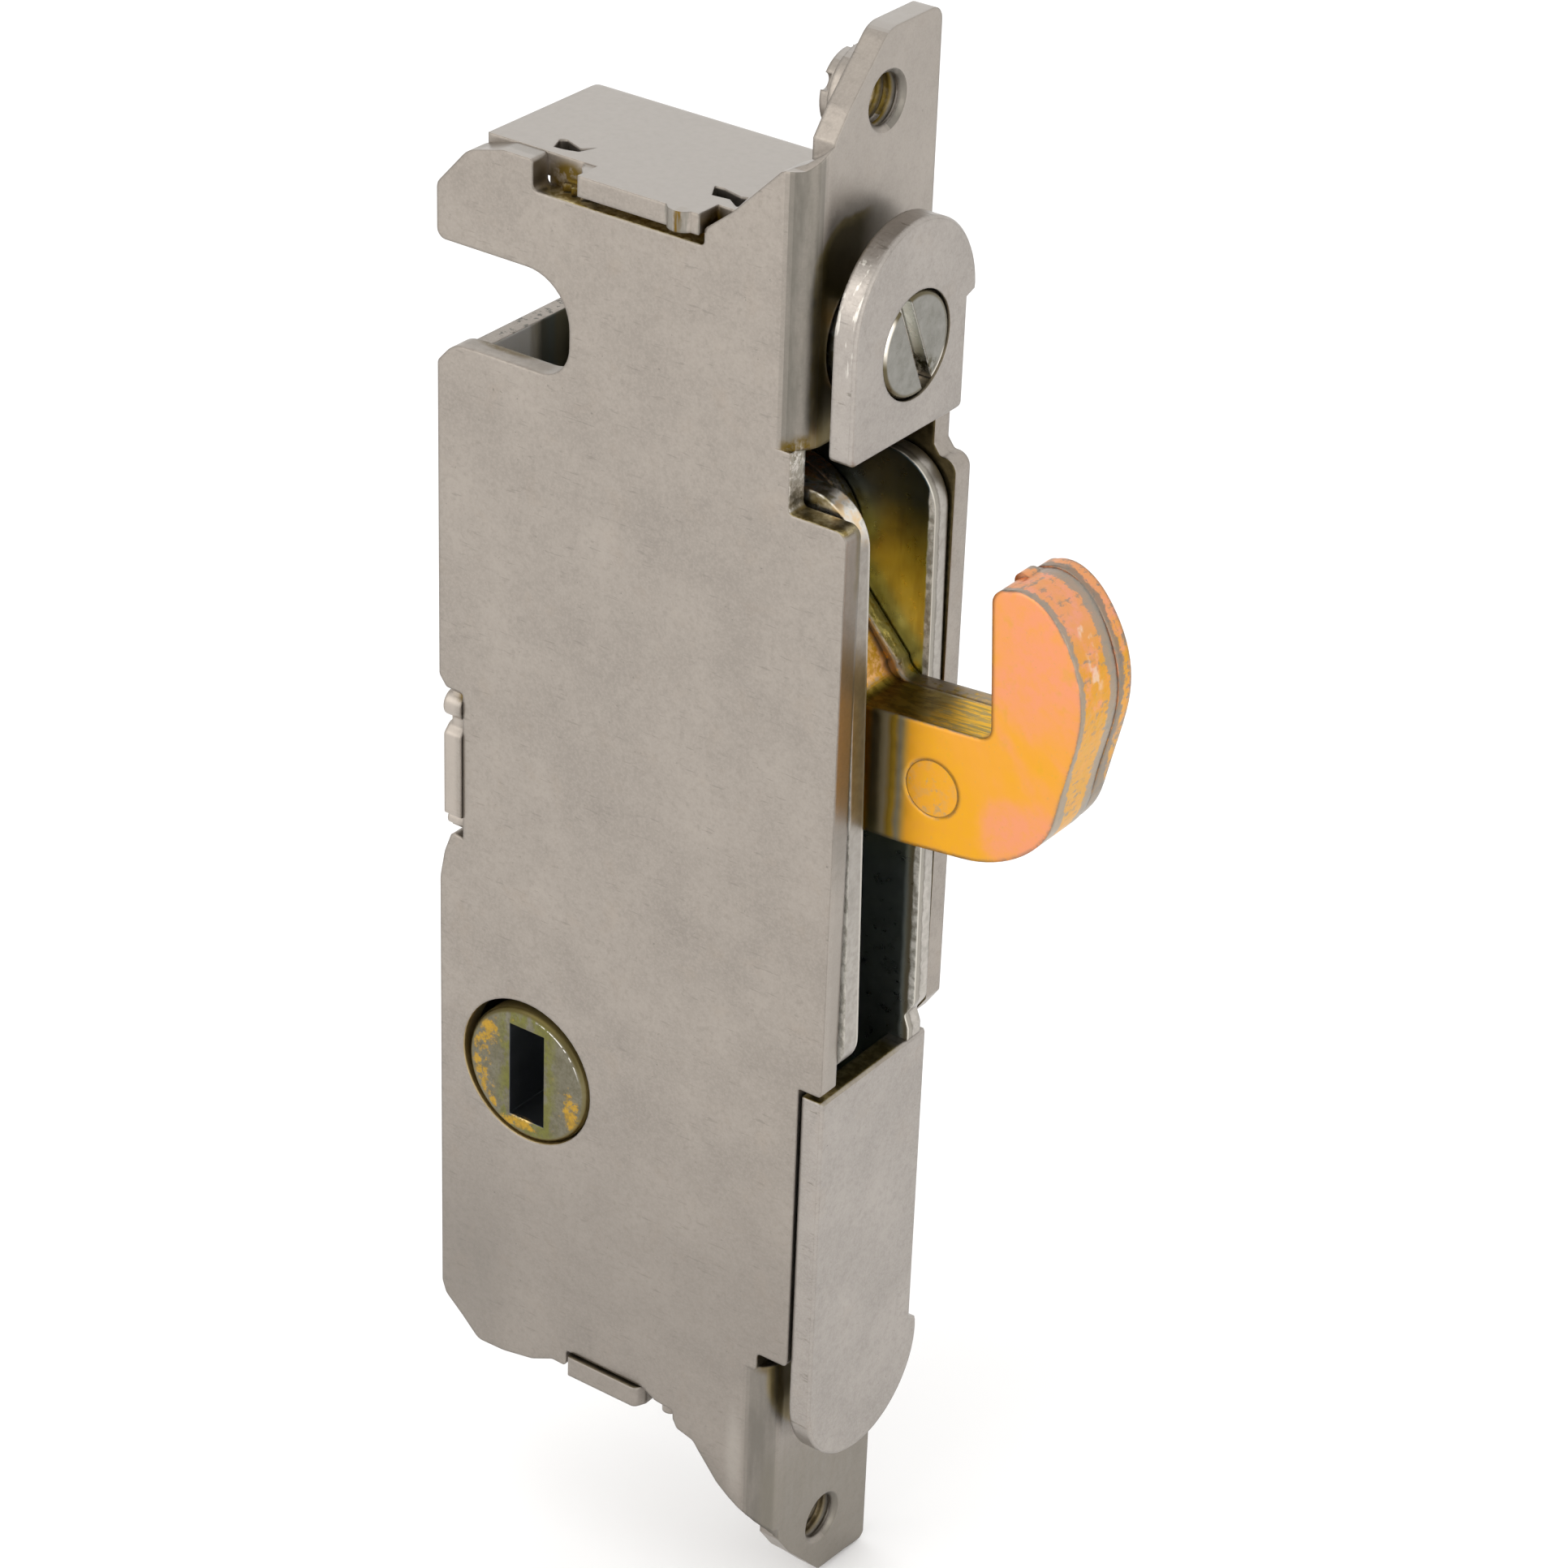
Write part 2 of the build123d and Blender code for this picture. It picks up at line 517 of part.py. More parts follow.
def hook_outline(claw, shank_x, shank_z, inner_x, tip=((0.22, 22.5), 21.9)):
    """Outline of one hook plate, run inside a BuildLine block; tip rounds the claw's inner top corner."""
    # claw's inner edge, square to the arm, and the inner corner
    arm = lambda x: 0.0753 * x + 12.71
    inner_low = inner_x + 0.44
    Line((inner_x, tip[1]), (inner_low, arm(inner_low) + 0.8))
    ThreePointArc((inner_low, arm(inner_low) + 0.8), (inner_low - 0.22, arm(inner_low) + 0.2), (inner_low - 0.76, arm(inner_low - 0.76)))
    Line((inner_low - 0.76, arm(inner_low - 0.76)), (shank_x + 1.3, arm(shank_x + 1.3)))
    ThreePointArc((shank_x + 1.3, arm(shank_x + 1.3)), (shank_x + 0.55, arm(shank_x) + 0.22), (shank_x, shank_z))
    # shank up to the pivot boss
    a0 = polar(pivot_x, pivot_z, boss_r, -26)
    Line((shank_x, shank_z), a0)
    ThreePointArc(a0, polar(pivot_x, pivot_z, boss_r, 60), polar(pivot_x, pivot_z, boss_r, 150))
    # tail lobe round the tail pin
    t0 = polar(tail_x, tail_z, 2.5, 150)
    Line(polar(pivot_x, pivot_z, boss_r, 150), t0)
    ThreePointArc(t0, polar(tail_x, tail_z, 2.5, 215), polar(tail_x, tail_z, 2.5, 280))
    Line(polar(tail_x, tail_z, 2.5, 280), (-2.6, 6.9))
    ThreePointArc((-2.6, 6.9), (-0.3, 5.55), claw[-1])
    # rounded outside of the claw
    Spline(*reversed(claw))
    ThreePointArc(claw[0], (inner_x + tip[0][0], tip[0][1]), (inner_x, tip[1]))


with BuildPart() as hook_thick_plate:
    with BuildSketch(at_y(hook_mid)):
        with BuildLine():
            hook_outline(near_claw, 1.15, 13.85, 10.12)
        make_face()
    extrude(amount=hook_mid - hook_n_out)
    # at mid thickness the tip keeps a fuller corner
    with BuildSketch(at_y(0.4)):
        with BuildLine():
            hook_outline(near_claw, 1.15, 13.85, 10.12, tip=((0.2, 22.84), 22.4))
        make_face()
    extrude(amount=1.15)
    with BuildSketch(at_y(hook_mid)):
        with Locations((pivot_x, pivot_z)):
            Circle(2.55)
        with Locations((tail_x, tail_z)):
            Circle(pin_r)
        with Locations((rivet_x, rivet_z)):
            Circle(rivet_r)
    extrude(amount=hook_mid - hook_n_out, mode=Mode.SUBTRACT)
hook_thick_plate.part.label = "hook_thick_plate"
export_step(hook_thick_plate.part, "parts/hook_thick_plate.step")

with BuildPart() as hook_thin_plate:
    with BuildSketch(at_y(hook_f_out)):
        with BuildLine():
            hook_outline(far_claw, 1.75, 13.85, 10.12)
        make_face()
        with Locations((pivot_x, pivot_z)):
            Circle(2.55, mode=Mode.SUBTRACT)
        with Locations((tail_x, tail_z)):
            Circle(pin_r, mode=Mode.SUBTRACT)
        with Locations((rivet_x, rivet_z)):
            Circle(rivet_r, mode=Mode.SUBTRACT)
    extrude(amount=hook_f_out - hook_mid)
hook_thin_plate.part.label = "hook_thin_plate"
export_step(hook_thin_plate.part, "parts/hook_thin_plate.step")

with BuildPart() as hook_rivet:
    with BuildSketch(at_y(hook_f_out)):
        with Locations((rivet_x, rivet_z)):
            Circle(rivet_r)
    extrude(amount=hook_f_out - hook_n_out)
hook_rivet.part.label = "hook_rivet"
export_step(hook_rivet.part, "parts/hook_rivet.step")

with BuildPart() as hook_tail_pin:
    with BuildSketch(at_y(hook_f_out)):
        with Locations((tail_x, tail_z)):
            Circle(pin_r)
    extrude(amount=hook_f_out + 3.6)
hook_tail_pin.part.label = "hook_tail_pin"
export_step(hook_tail_pin.part, "parts/hook_tail_pin.step")

with BuildPart() as hook_pivot_pin:
    with BuildSketch(at_y(wall_f_out)):
        with Locations((pivot_x, pivot_z)):
            Circle(2.5)
    extrude(amount=wall_f_out - wall_n_out)
hook_pivot_pin.part.label = "hook_pivot_pin"
export_step(hook_pivot_pin.part, "parts/hook_pivot_pin.step")

# ---------------------------------------------------------------------------
# Lift slide: thin plate on the near wall that links the crank pin to the tail pin
# ---------------------------------------------------------------------------
slide_back, slide_front = -3.58, -2.92
pin_gap = 0.35
detent_z = 0.8
crank_px, crank_pz = polar(hub_x, hub_z, crank_r, -30)
fork_top, fork_low = crank_pz + pin_r + pin_gap, crank_pz - pin_r - pin_gap

with BuildPart() as lift_slide:
    with BuildSketch(at_y(slide_front)):
        with BuildLine():
            outline(
                (-13.7, fork_low - 1.45, 0.5), (-4.9, fork_low - 1.45, 1.0), (-4.9, -19.2, 1.0), (-6.9, -17.4, 1.0),
                (-6.9, 4.5, 0.8), (-8.8, 6.2, 0.8), (-8.8, 17.5, 0.8), (-16.35, 17.5, 0.8), (-16.35, 12.0, 0.5),
                (-15.6, 11.0, 0.5),
                (-15.6, detent_z + 0.9), (-15.05, detent_z + 0.35), (-15.05, detent_z - 0.35), (-15.6, detent_z - 0.9),
                (-15.6, detent_z - lift + 0.9), (-15.05, detent_z - lift + 0.35),
                (-15.05, detent_z - lift - 0.35), (-15.6, detent_z - lift - 0.9),
                (-15.6, -11.9, 0.3), (-13.3, -13.2, 0.5), (-13.3, -18.8, 0.5), (-13.7, -20.2, 0.4),
                (-13.7, fork_top, 0.4), (-6.24, fork_top, 1.54), (-6.24, fork_low, 1.54), (-13.7, fork_low, 0.4),
            )
        make_face()
        with Locations((-12.4, tail_z)):
            SlotOverall(5.3, 2 * (pin_r + pin_gap), mode=Mode.SUBTRACT)
        for sx, sz in guide_spots:
            with Locations((sx, sz - lift / 2)):
                SlotCenterToCenter(lift + 0.2, 2 * stud_r + 0.2, rotation=90, mode=Mode.SUBTRACT)
    extrude(amount=slide_front - slide_back)
lift_slide.part.label = "lift_slide"
export_step(lift_slide.part, "parts/lift_slide.step")

with BuildPart() as slide_guide_studs:
    with BuildSketch(at_y(-2.9)):
        with Locations(guide_spots[0], guide_spots[1]):
            Circle(stud_r)
    extrude(amount=-2.9 - wall_n_in)
    with BuildSketch(at_y(wall_n_in)):
        with Locations(guide_spots[0], guide_spots[1]):
            Circle(rivet_hole_r)
    extrude(amount=wall_n_in - wall_n_out)
slide_guide_studs.part.label = "slide_guide_studs"
export_step(slide_guide_studs.part, "parts/slide_guide_studs.step")

# Detent spring: flat wire with an eye, its bump in one of the slide's two notches
with BuildPart() as detent_spring:
    with BuildSketch(at_y(-3.05)):
        with BuildLine():
            outline(
                (-17.75, 8.2), (-17.05, 4.2, 3.0), (-16.15, 1.85, 0.8), (-15.22, 1.1, 0.3), (-15.22, 0.5, 0.3),
                (-16.3, -0.3, 0.6), (-16.75, -1.5, 0.3), (-17.2, -1.35, 0.1), (-16.75, -0.05, 0.6),
                (-15.75, 0.8, 0.2), (-16.6, 1.65, 0.6), (-17.55, 4.0, 3.0), (-18.4, 8.2),
            )
        make_face()
        with Locations((anchor_x, anchor_z)):
            Circle(1.6)
            Circle(rivet_hole_r, mode=Mode.SUBTRACT)
    extrude(amount=0.5)
detent_spring.part.label = "detent_spring"
export_step(detent_spring.part, "parts/detent_spring.step")

with BuildPart() as spring_rivet:
    with BuildSketch(at_y(-2.95)):
        with Locations((anchor_x, anchor_z)):
            Circle(rivet_hole_r)
    extrude(amount=-2.95 - wall_n_out)
    with BuildSketch(at_y(-2.93)):
        with Locations((anchor_x, anchor_z)):
            Circle(1.45)
    extrude(amount=0.12)
    with BuildSketch(at_y(-3.55)):
        with Locations((anchor_x, anchor_z)):
            Circle(1.45)
    extrude(amount=0.1)
spring_rivet.part.label = "spring_rivet"
export_step(spring_rivet.part, "parts/spring_rivet.step")

# ---------------------------------------------------------------------------
# Cam hub with its crank arm and crank pin
# ---------------------------------------------------------------------------
with BuildPart() as cam_hub:
    # face in the cover's hole
    with BuildSketch(at_y(-5.27)):
        with Locations((hub_x, hub_z)):
            Circle(hub_face_r)
    extrude(amount=1.33)
    fillet(cam_hub.edges().filter_by(GeomType.CIRCLE).sort_by(Axis.Y)[0], 0.4)
    # core and journal
    with BuildSketch(at_y(3.6)):
        with Locations((hub_x, hub_z)):
            Circle(hub_core_r)
    extrude(amount=3.6 + 5.3)
    with BuildSketch(at_y(4.95)):
        with Locations((hub_x, hub_z)):
            Circle(journal_r)
    extrude(amount=1.4)
    # lobe behind the cover that keeps the hub in; it stays in front of the back flange
    with BuildSketch(at_y(-4.2)):
        with BuildLine():
            lobe_a = polar(hub_x, hub_z, 5.7, -84)
            lobe_b = polar(hub_x, hub_z, 5.7, 54)
            ThreePointArc(lobe_a, polar(hub_x, hub_z, 5.7, -15), lobe_b)
            Line(lobe_b, polar(hub_x, hub_z, 3.9, 70))
            Line(polar(hub_x, hub_z, 3.9, 70), polar(hub_x, hub_z, 3.9, -100))
            Line(polar(hub_x, hub_z, 3.9, -100), lobe_a)
        make_face()
    extrude(amount=1.0)
    # slot for the tailpiece, right through
    with BuildSketch(at_y(5.2)):
        with Locations((hub_x, hub_z)):
            Rectangle(slot_w, slot_h)
    extrude(amount=12.0, mode=Mode.SUBTRACT)
cam_hub.part.label = "cam_hub"
export_step(cam_hub.part, "parts/cam_hub.step")

with BuildPart() as hub_crank_arm:
    with BuildSketch(at_y(-1.45)):
        with BuildLine():
            c0 = polar(hub_x, hub_z, 6.0, -105)
            c1 = polar(hub_x, hub_z, 6.0, -68)
            c2 = polar(hub_x, hub_z, 6.0, 8)
            c3 = polar(hub_x, hub_z, 6.0, 45)
            p_low = (crank_px + 2.0 * math.cos(math.radians(-120)), crank_pz + 2.0 * math.sin(math.radians(-120)))
            p_tip = (crank_px + 2.0 * math.cos(math.radians(-30)), crank_pz + 2.0 * math.sin(math.radians(-30)))
            p_up = (crank_px + 2.0 * math.cos(math.radians(60)), crank_pz + 2.0 * math.sin(math.radians(60)))
            i0 = polar(hub_x, hub_z, hub_core_r, -105)
            i1 = polar(hub_x, hub_z, hub_core_r, 45)
            ThreePointArc(c0, polar(hub_x, hub_z, 6.0, -86), c1)
            Line(c1, p_low)
            ThreePointArc(p_low, p_tip, p_up)
            Line(p_up, c2)
            ThreePointArc(c2, polar(hub_x, hub_z, 6.0, 26), c3)
            Line(c3, i1)
            ThreePointArc(i1, polar(hub_x, hub_z, hub_core_r, -30), i0)
            Line(i0, c0)
        make_face()
        with Locations((crank_px, crank_pz)):
            Circle(0.9, mode=Mode.SUBTRACT)
    extrude(amount=1.4)
hub_crank_arm.part.label = "hub_crank_arm"
export_step(hub_crank_arm.part, "parts/hub_crank_arm.step")

with BuildPart() as crank_pin:
    with BuildSketch(at_y(-2.85)):
        with Locations((crank_px, crank_pz)):
            Circle(pin_r)
    extrude(amount=0.75)
    with BuildSketch(at_y(-1.45)):
        with Locations((crank_px, crank_pz)):
            Circle(0.9)
    extrude(amount=1.4)
crank_pin.part.label = "crank_pin"
export_step(crank_pin.part, "parts/crank_pin.step")
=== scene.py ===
import bpy
import bmesh
import math
import random
from mathutils import Matrix, Vector


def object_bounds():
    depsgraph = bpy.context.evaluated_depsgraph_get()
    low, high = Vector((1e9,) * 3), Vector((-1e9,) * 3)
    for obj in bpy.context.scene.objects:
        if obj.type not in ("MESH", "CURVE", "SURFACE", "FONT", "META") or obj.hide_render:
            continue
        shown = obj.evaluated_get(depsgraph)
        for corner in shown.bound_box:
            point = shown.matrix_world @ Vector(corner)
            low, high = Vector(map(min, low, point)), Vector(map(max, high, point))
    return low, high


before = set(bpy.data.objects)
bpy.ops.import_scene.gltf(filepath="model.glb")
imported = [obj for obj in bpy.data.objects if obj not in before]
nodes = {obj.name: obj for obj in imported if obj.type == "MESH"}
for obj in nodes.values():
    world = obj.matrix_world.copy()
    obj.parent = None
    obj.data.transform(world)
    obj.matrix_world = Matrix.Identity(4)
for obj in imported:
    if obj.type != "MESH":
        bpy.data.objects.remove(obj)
cad_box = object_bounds()
MM = 0.001
random.seed(7)
LEVEL = 0.80          # metal tones against the brightness of the floor and sky
SCREW_TOP = 3.06      # face of the screw head (X, mm)

# ---------------------------------------------------------------------------
# Camera: solved from the straight edges of the lock
# ---------------------------------------------------------------------------
FRAME_PX = 1932.0
FOCAL_PX = 5648.34
CX, CY = 964.09, 962.81
AZ, EL, ROLL = 35.0111, 29.7676, 2.1508
TV = Vector((3.5774, 5.4141, 261.5067))


def camera_rows(az, el, roll):
    a, e = math.radians(az), math.radians(el)
    c = Vector((math.sin(a) * math.cos(e), -math.cos(a) * math.cos(e), math.sin(e)))
    fwd = -c
    right = fwd.cross(Vector((0, 0, 1))).normalized()
    down = fwd.cross(right)
    r = math.radians(roll)
    row0 = right * math.cos(r) - down * math.sin(r)
    row1 = right * math.sin(r) + down * math.cos(r)
    return row0, row1, fwd


r0, r1, r2 = camera_rows(AZ, EL, ROLL)
eye = -(r0 * TV.x + r1 * TV.y + r2 * TV.z)
eye.y -= 0.65
cam_data = bpy.data.cameras.new("camera")
cam = bpy.data.objects.new("camera", cam_data)
bpy.context.scene.collection.objects.link(cam)
m = Matrix.Identity(4)
for i in range(3):
    m[i][0] = r0[i]
    m[i][1] = -r1[i]
    m[i][2] = -r2[i]
    m[i][3] = eye[i] * MM
cam.matrix_world = m
cam_data.sensor_fit = "HORIZONTAL"
cam_data.sensor_width = 36.0
cam_data.lens = FOCAL_PX / FRAME_PX * 36.0
cam_data.shift_x = (FRAME_PX / 2 - CX) / FRAME_PX
cam_data.shift_y = (CY - FRAME_PX / 2) / FRAME_PX
cam_data.clip_start = 0.01
cam_data.clip_end = 20.0
bpy.context.scene.camera = cam
bpy.context.scene.view_settings.view_transform = "Standard"
bpy.context.scene.view_settings.look = "None"


# ---------------------------------------------------------------------------
# Node helpers
# ---------------------------------------------------------------------------
class Tree:
    """Small helper that adds nodes to a material and joins them."""

    def __init__(self, name):
        self.mat = bpy.data.materials.new(name)
        self.mat.use_nodes = True
        self.nt = self.mat.node_tree
        self.nt.nodes.clear()
        self.out = self.nt.nodes.new("ShaderNodeOutputMaterial")
        self.bsdf = self.nt.nodes.new("ShaderNodeBsdfPrincipled")
        self.link(self.bsdf.outputs[0], self.out.inputs["Surface"])
        tc = self.nt.nodes.new("ShaderNodeTexCoord")
        mp = self.nt.nodes.new("ShaderNodeVectorMath")
        mp.operation = "SCALE"
        self.link(tc.outputs["Object"], mp.inputs[0])
        mp.inputs["Scale"].default_value = 1000.0
        self.mm = mp.outputs[0]          # object position in millimetres

    def link(self, a, b):
        self.nt.links.new(a, b)

    def put(self, socket, value):
        if isinstance(value, (int, float)):
            socket.default_value = value
        elif isinstance(value, tuple):
            socket.default_value = value if len(value) != 3 or socket.type != "RGBA" else (*value, 1.0)
        else:
            self.link(value, socket)

    def math(self, op, a, b=0.0, c=None, clamp=False):
        n = self.nt.nodes.new("ShaderNodeMath")
        n.operation = op
        n.use_clamp = clamp
        self.put(n.inputs[0], a)
        self.put(n.inputs[1], b)
        if c is not None:
            self.put(n.inputs[2], c)
        return n.outputs[0]

    def noise(self, scale, detail=3.0, rough=0.5, stretch=(1, 1, 1), offset=(0, 0, 0), distort=0.0):
        mp = self.nt.nodes.new("ShaderNodeMapping")
        self.link(self.mm, mp.inputs["Vector"])
        mp.inputs["Scale"].default_value = stretch
        mp.inputs["Location"].default_value = offset
        n = self.nt.nodes.new("ShaderNodeTexNoise")
        self.link(mp.outputs[0], n.inputs["Vector"])
        n.inputs["Scale"].default_value = scale
        n.inputs["Detail"].default_value = detail
        n.inputs["Roughness"].default_value = rough
        n.inputs["Distortion"].default_value = distort
        return n.outputs["Fac"]

    def ramp(self, fac, stops, mode="LINEAR"):
        n = self.nt.nodes.new("ShaderNodeValToRGB")
        n.color_ramp.interpolation = mode
        el = n.color_ramp.elements
        while len(el) > 1:
            el.remove(el[-1])
        first = True
        for pos, col in stops:
            e = el[0] if first else el.new(pos)
            first = False
            e.position = pos
            e.color = (col, col, col, 1) if isinstance(col, (int, float)) else (*col, 1)
        self.put(n.inputs[0], fac)
        return n.outputs[0]

    def mix(self, fac, a, b, mode="MIX"):
        n = self.nt.nodes.new("ShaderNodeMix")
        n.data_type = "RGBA"
        n.blend_type = mode
        n.clamp_factor = True
        self.put(n.inputs[0], fac)
        self.put(n.inputs[6], a)
        self.put(n.inputs[7], b)
        return n.outputs[2]

    def span(self, v, lo, hi, a=0.0, b=1.0, smooth=True):
        n = self.nt.nodes.new("ShaderNodeMapRange")
        n.interpolation_type = "SMOOTHSTEP" if smooth else "LINEAR"
        n.clamp = True
        self.put(n.inputs["Value"], v)
        n.inputs["From Min"].default_value = lo
        n.inputs["From Max"].default_value = hi
        n.inputs["To Min"].default_value = a
        n.inputs["To Max"].default_value = b
        return n.outputs[0]

    def xyz(self):
        n = self.nt.nodes.new("ShaderNodeSeparateXYZ")
        self.link(self.mm, n.inputs[0])
        return n.outputs[0], n.outputs[1], n.outputs[2]

    def normal_xyz(self):
        g = self.nt.nodes.new("ShaderNodeNewGeometry")
        t = self.nt.nodes.new("ShaderNodeVectorTransform")
        t.vector_type = "NORMAL"
        t.convert_from = "WORLD"
        t.convert_to = "OBJECT"
        self.link(g.outputs["True Normal"], t.inputs[0])
        n = self.nt.nodes.new("ShaderNodeSeparateXYZ")
        self.link(t.outputs[0], n.inputs[0])
        return n.outputs[0], n.outputs[1], n.outputs[2]

    def bevel(self, radius_mm):
        n = self.nt.nodes.new("ShaderNodeBevel")
        n.samples = 6
        n.inputs["Radius"].default_value = radius_mm * MM
        return n.outputs[0]

    def edge_mask(self, radius_mm, lo=0.02, hi=0.25):
        """1 on edges, 0 on flat stretches: how far the bevelled normal leans from the face's own."""
        b = self.bevel(radius_mm)
        g = self.nt.nodes.new("ShaderNodeNewGeometry")
        d = self.nt.nodes.new("ShaderNodeVectorMath")
        d.operation = "DOT_PRODUCT"
        self.link(b, d.inputs[0])
        self.link(g.outputs["True Normal"], d.inputs[1])
        lean = self.math("SUBTRACT", 1.0, d.outputs["Value"])
        return self.span(lean, lo, hi)

    def bump(self, height, strength, distance_mm, normal=None):
        n = self.nt.nodes.new("ShaderNodeBump")
        n.inputs["Strength"].default_value = strength
        n.inputs["Distance"].default_value = distance_mm * MM
        self.put(n.inputs["Height"], height)
        if normal is not None:
            self.link(normal, n.inputs["Normal"])
        return n.outputs[0]

    def finish(self, color, rough, normal, metallic=1.0):
        if metallic != 0.0:
            color = self.mix(1.0, color, (LEVEL, LEVEL, LEVEL), "MULTIPLY")
        self.put(self.bsdf.inputs["Base Color"], color)
        self.put(self.bsdf.inputs["Roughness"], rough)
        if normal is not None:
            self.link(normal, self.bsdf.inputs["Normal"])
        self.put(self.bsdf.inputs["Metallic"], metallic)
        return self.mat


def blob(t, cx, cy, cz, rx, ry, rz, soft=0.55):
    """1 inside an ellipsoid given in millimetres, falling to 0 at its skin."""
    d = t.nt.nodes.new("ShaderNodeVectorMath")
    d.operation = "SUBTRACT"
    t.link(t.mm, d.inputs[0])
    d.inputs[1].default_value = (cx, cy, cz)
    m = t.nt.nodes.new("ShaderNodeVectorMath")
    m.operation = "MULTIPLY"
    t.link(d.outputs[0], m.inputs[0])
    m.inputs[1].default_value = (1.0 / rx, 1.0 / ry, 1.0 / rz)
    n = t.nt.nodes.new("ShaderNodeVectorMath")
    n.operation = "LENGTH"
    t.link(m.outputs[0], n.inputs[0])
    return t.span(n.outputs["Value"], soft, 1.0, 1.0, 0.0)


def most(t, *values):
    v = values[0]
    for w in values[1:]:
        v = t.math("MAXIMUM", v, w)
    return v


def times(t, *values):
    v = values[0]
    for w in values[1:]:
        v = t.math("MULTIPLY", v, w)
    return v


def zinc_sheet(name, tone, line=(0.17, 0.15, 0.125), rough=(0.36, 0.44), edge_round=0.28, line_width=0.11, line_amount=0.55):
    """Zinc-plated sheet before its places are painted: even satin grey, faint grain, scattered small marks."""
    t = Tree(name)
    dark = tuple(v * 0.86 for v in tone)
    cloud = t.noise(0.22, 4.0, 0.62)
    base = t.ramp(cloud, [(0.30, dark), (0.70, tuple(v * 1.07 for v in tone))])
    fleck = t.noise(2.2, 4.0, 0.62, offset=(13, 4, 2))
    base = t.mix(t.span(fleck, 0.44, 0.74, 0.0, 0.50), base, tuple(v * 0.80 for v in tone))
    fine = t.noise(7.0, 2.0, 0.5, offset=(4, 8, 6))
    base = t.mix(t.span(fine, 0.40, 0.66, 0.0, 0.36), base, tuple(min(1, v * 1.16) for v in tone))
    warm = t.noise(0.45, 3.0, 0.5, offset=(31, 7, 5))
    base = t.mix(t.span(warm, 0.56, 0.74, 0.0, 0.16), base, (tone[0] * 1.02, tone[1] * 0.93, tone[2] * 0.84))
    scratch = t.noise(1.0, 3.0, 0.55, stretch=(0.7, 5.5, 5.0), offset=(2, 6, 3))
    base = t.mix(t.span(scratch, 0.64, 0.72, 0.0, 0.42), base, tuple(v * 0.62 for v in tone))
    pit = t.noise(3.2, 3.0, 0.6, offset=(17, 5, 11))
    base = t.mix(t.span(pit, 0.70, 0.76, 0.0, 0.55), base, tuple(v * 0.45 for v in tone))
    t.fleck, t.fine, t.scratch = fleck, fine, scratch
    edge = t.edge_mask(line_width)
    ragged = t.span(t.noise(1.7, 4.0, 0.65, offset=(3, 9, 1)), 0.36, 0.60, 0.25, 1.0)
    t.edge = t.math("MULTIPLY", edge, ragged)
    base = t.mix(t.math("MULTIPLY", t.edge, line_amount), base, line)
    t.base = base
    t.rough = t.span(fleck, 0.3, 0.7, rough[0], rough[1], smooth=False)
    dent = t.noise(0.35, 2.0, 0.5, offset=(9, 2, 14))
    n1 = t.bump(dent, 0.25, 0.06, t.bevel(edge_round))
    t.normal = t.bump(t.math("ADD", t.math("MULTIPLY", fleck, 0.6), t.math("MULTIPLY", fine, 0.4)), 0.22, 0.012, n1)
    return t


def done(t):
    return t.finish(t.base, t.rough, t.normal, getattr(t, "metal", 1.0))


BROWN = (0.150, 0.098, 0.018)
DEEP = (0.030, 0.024, 0.010)


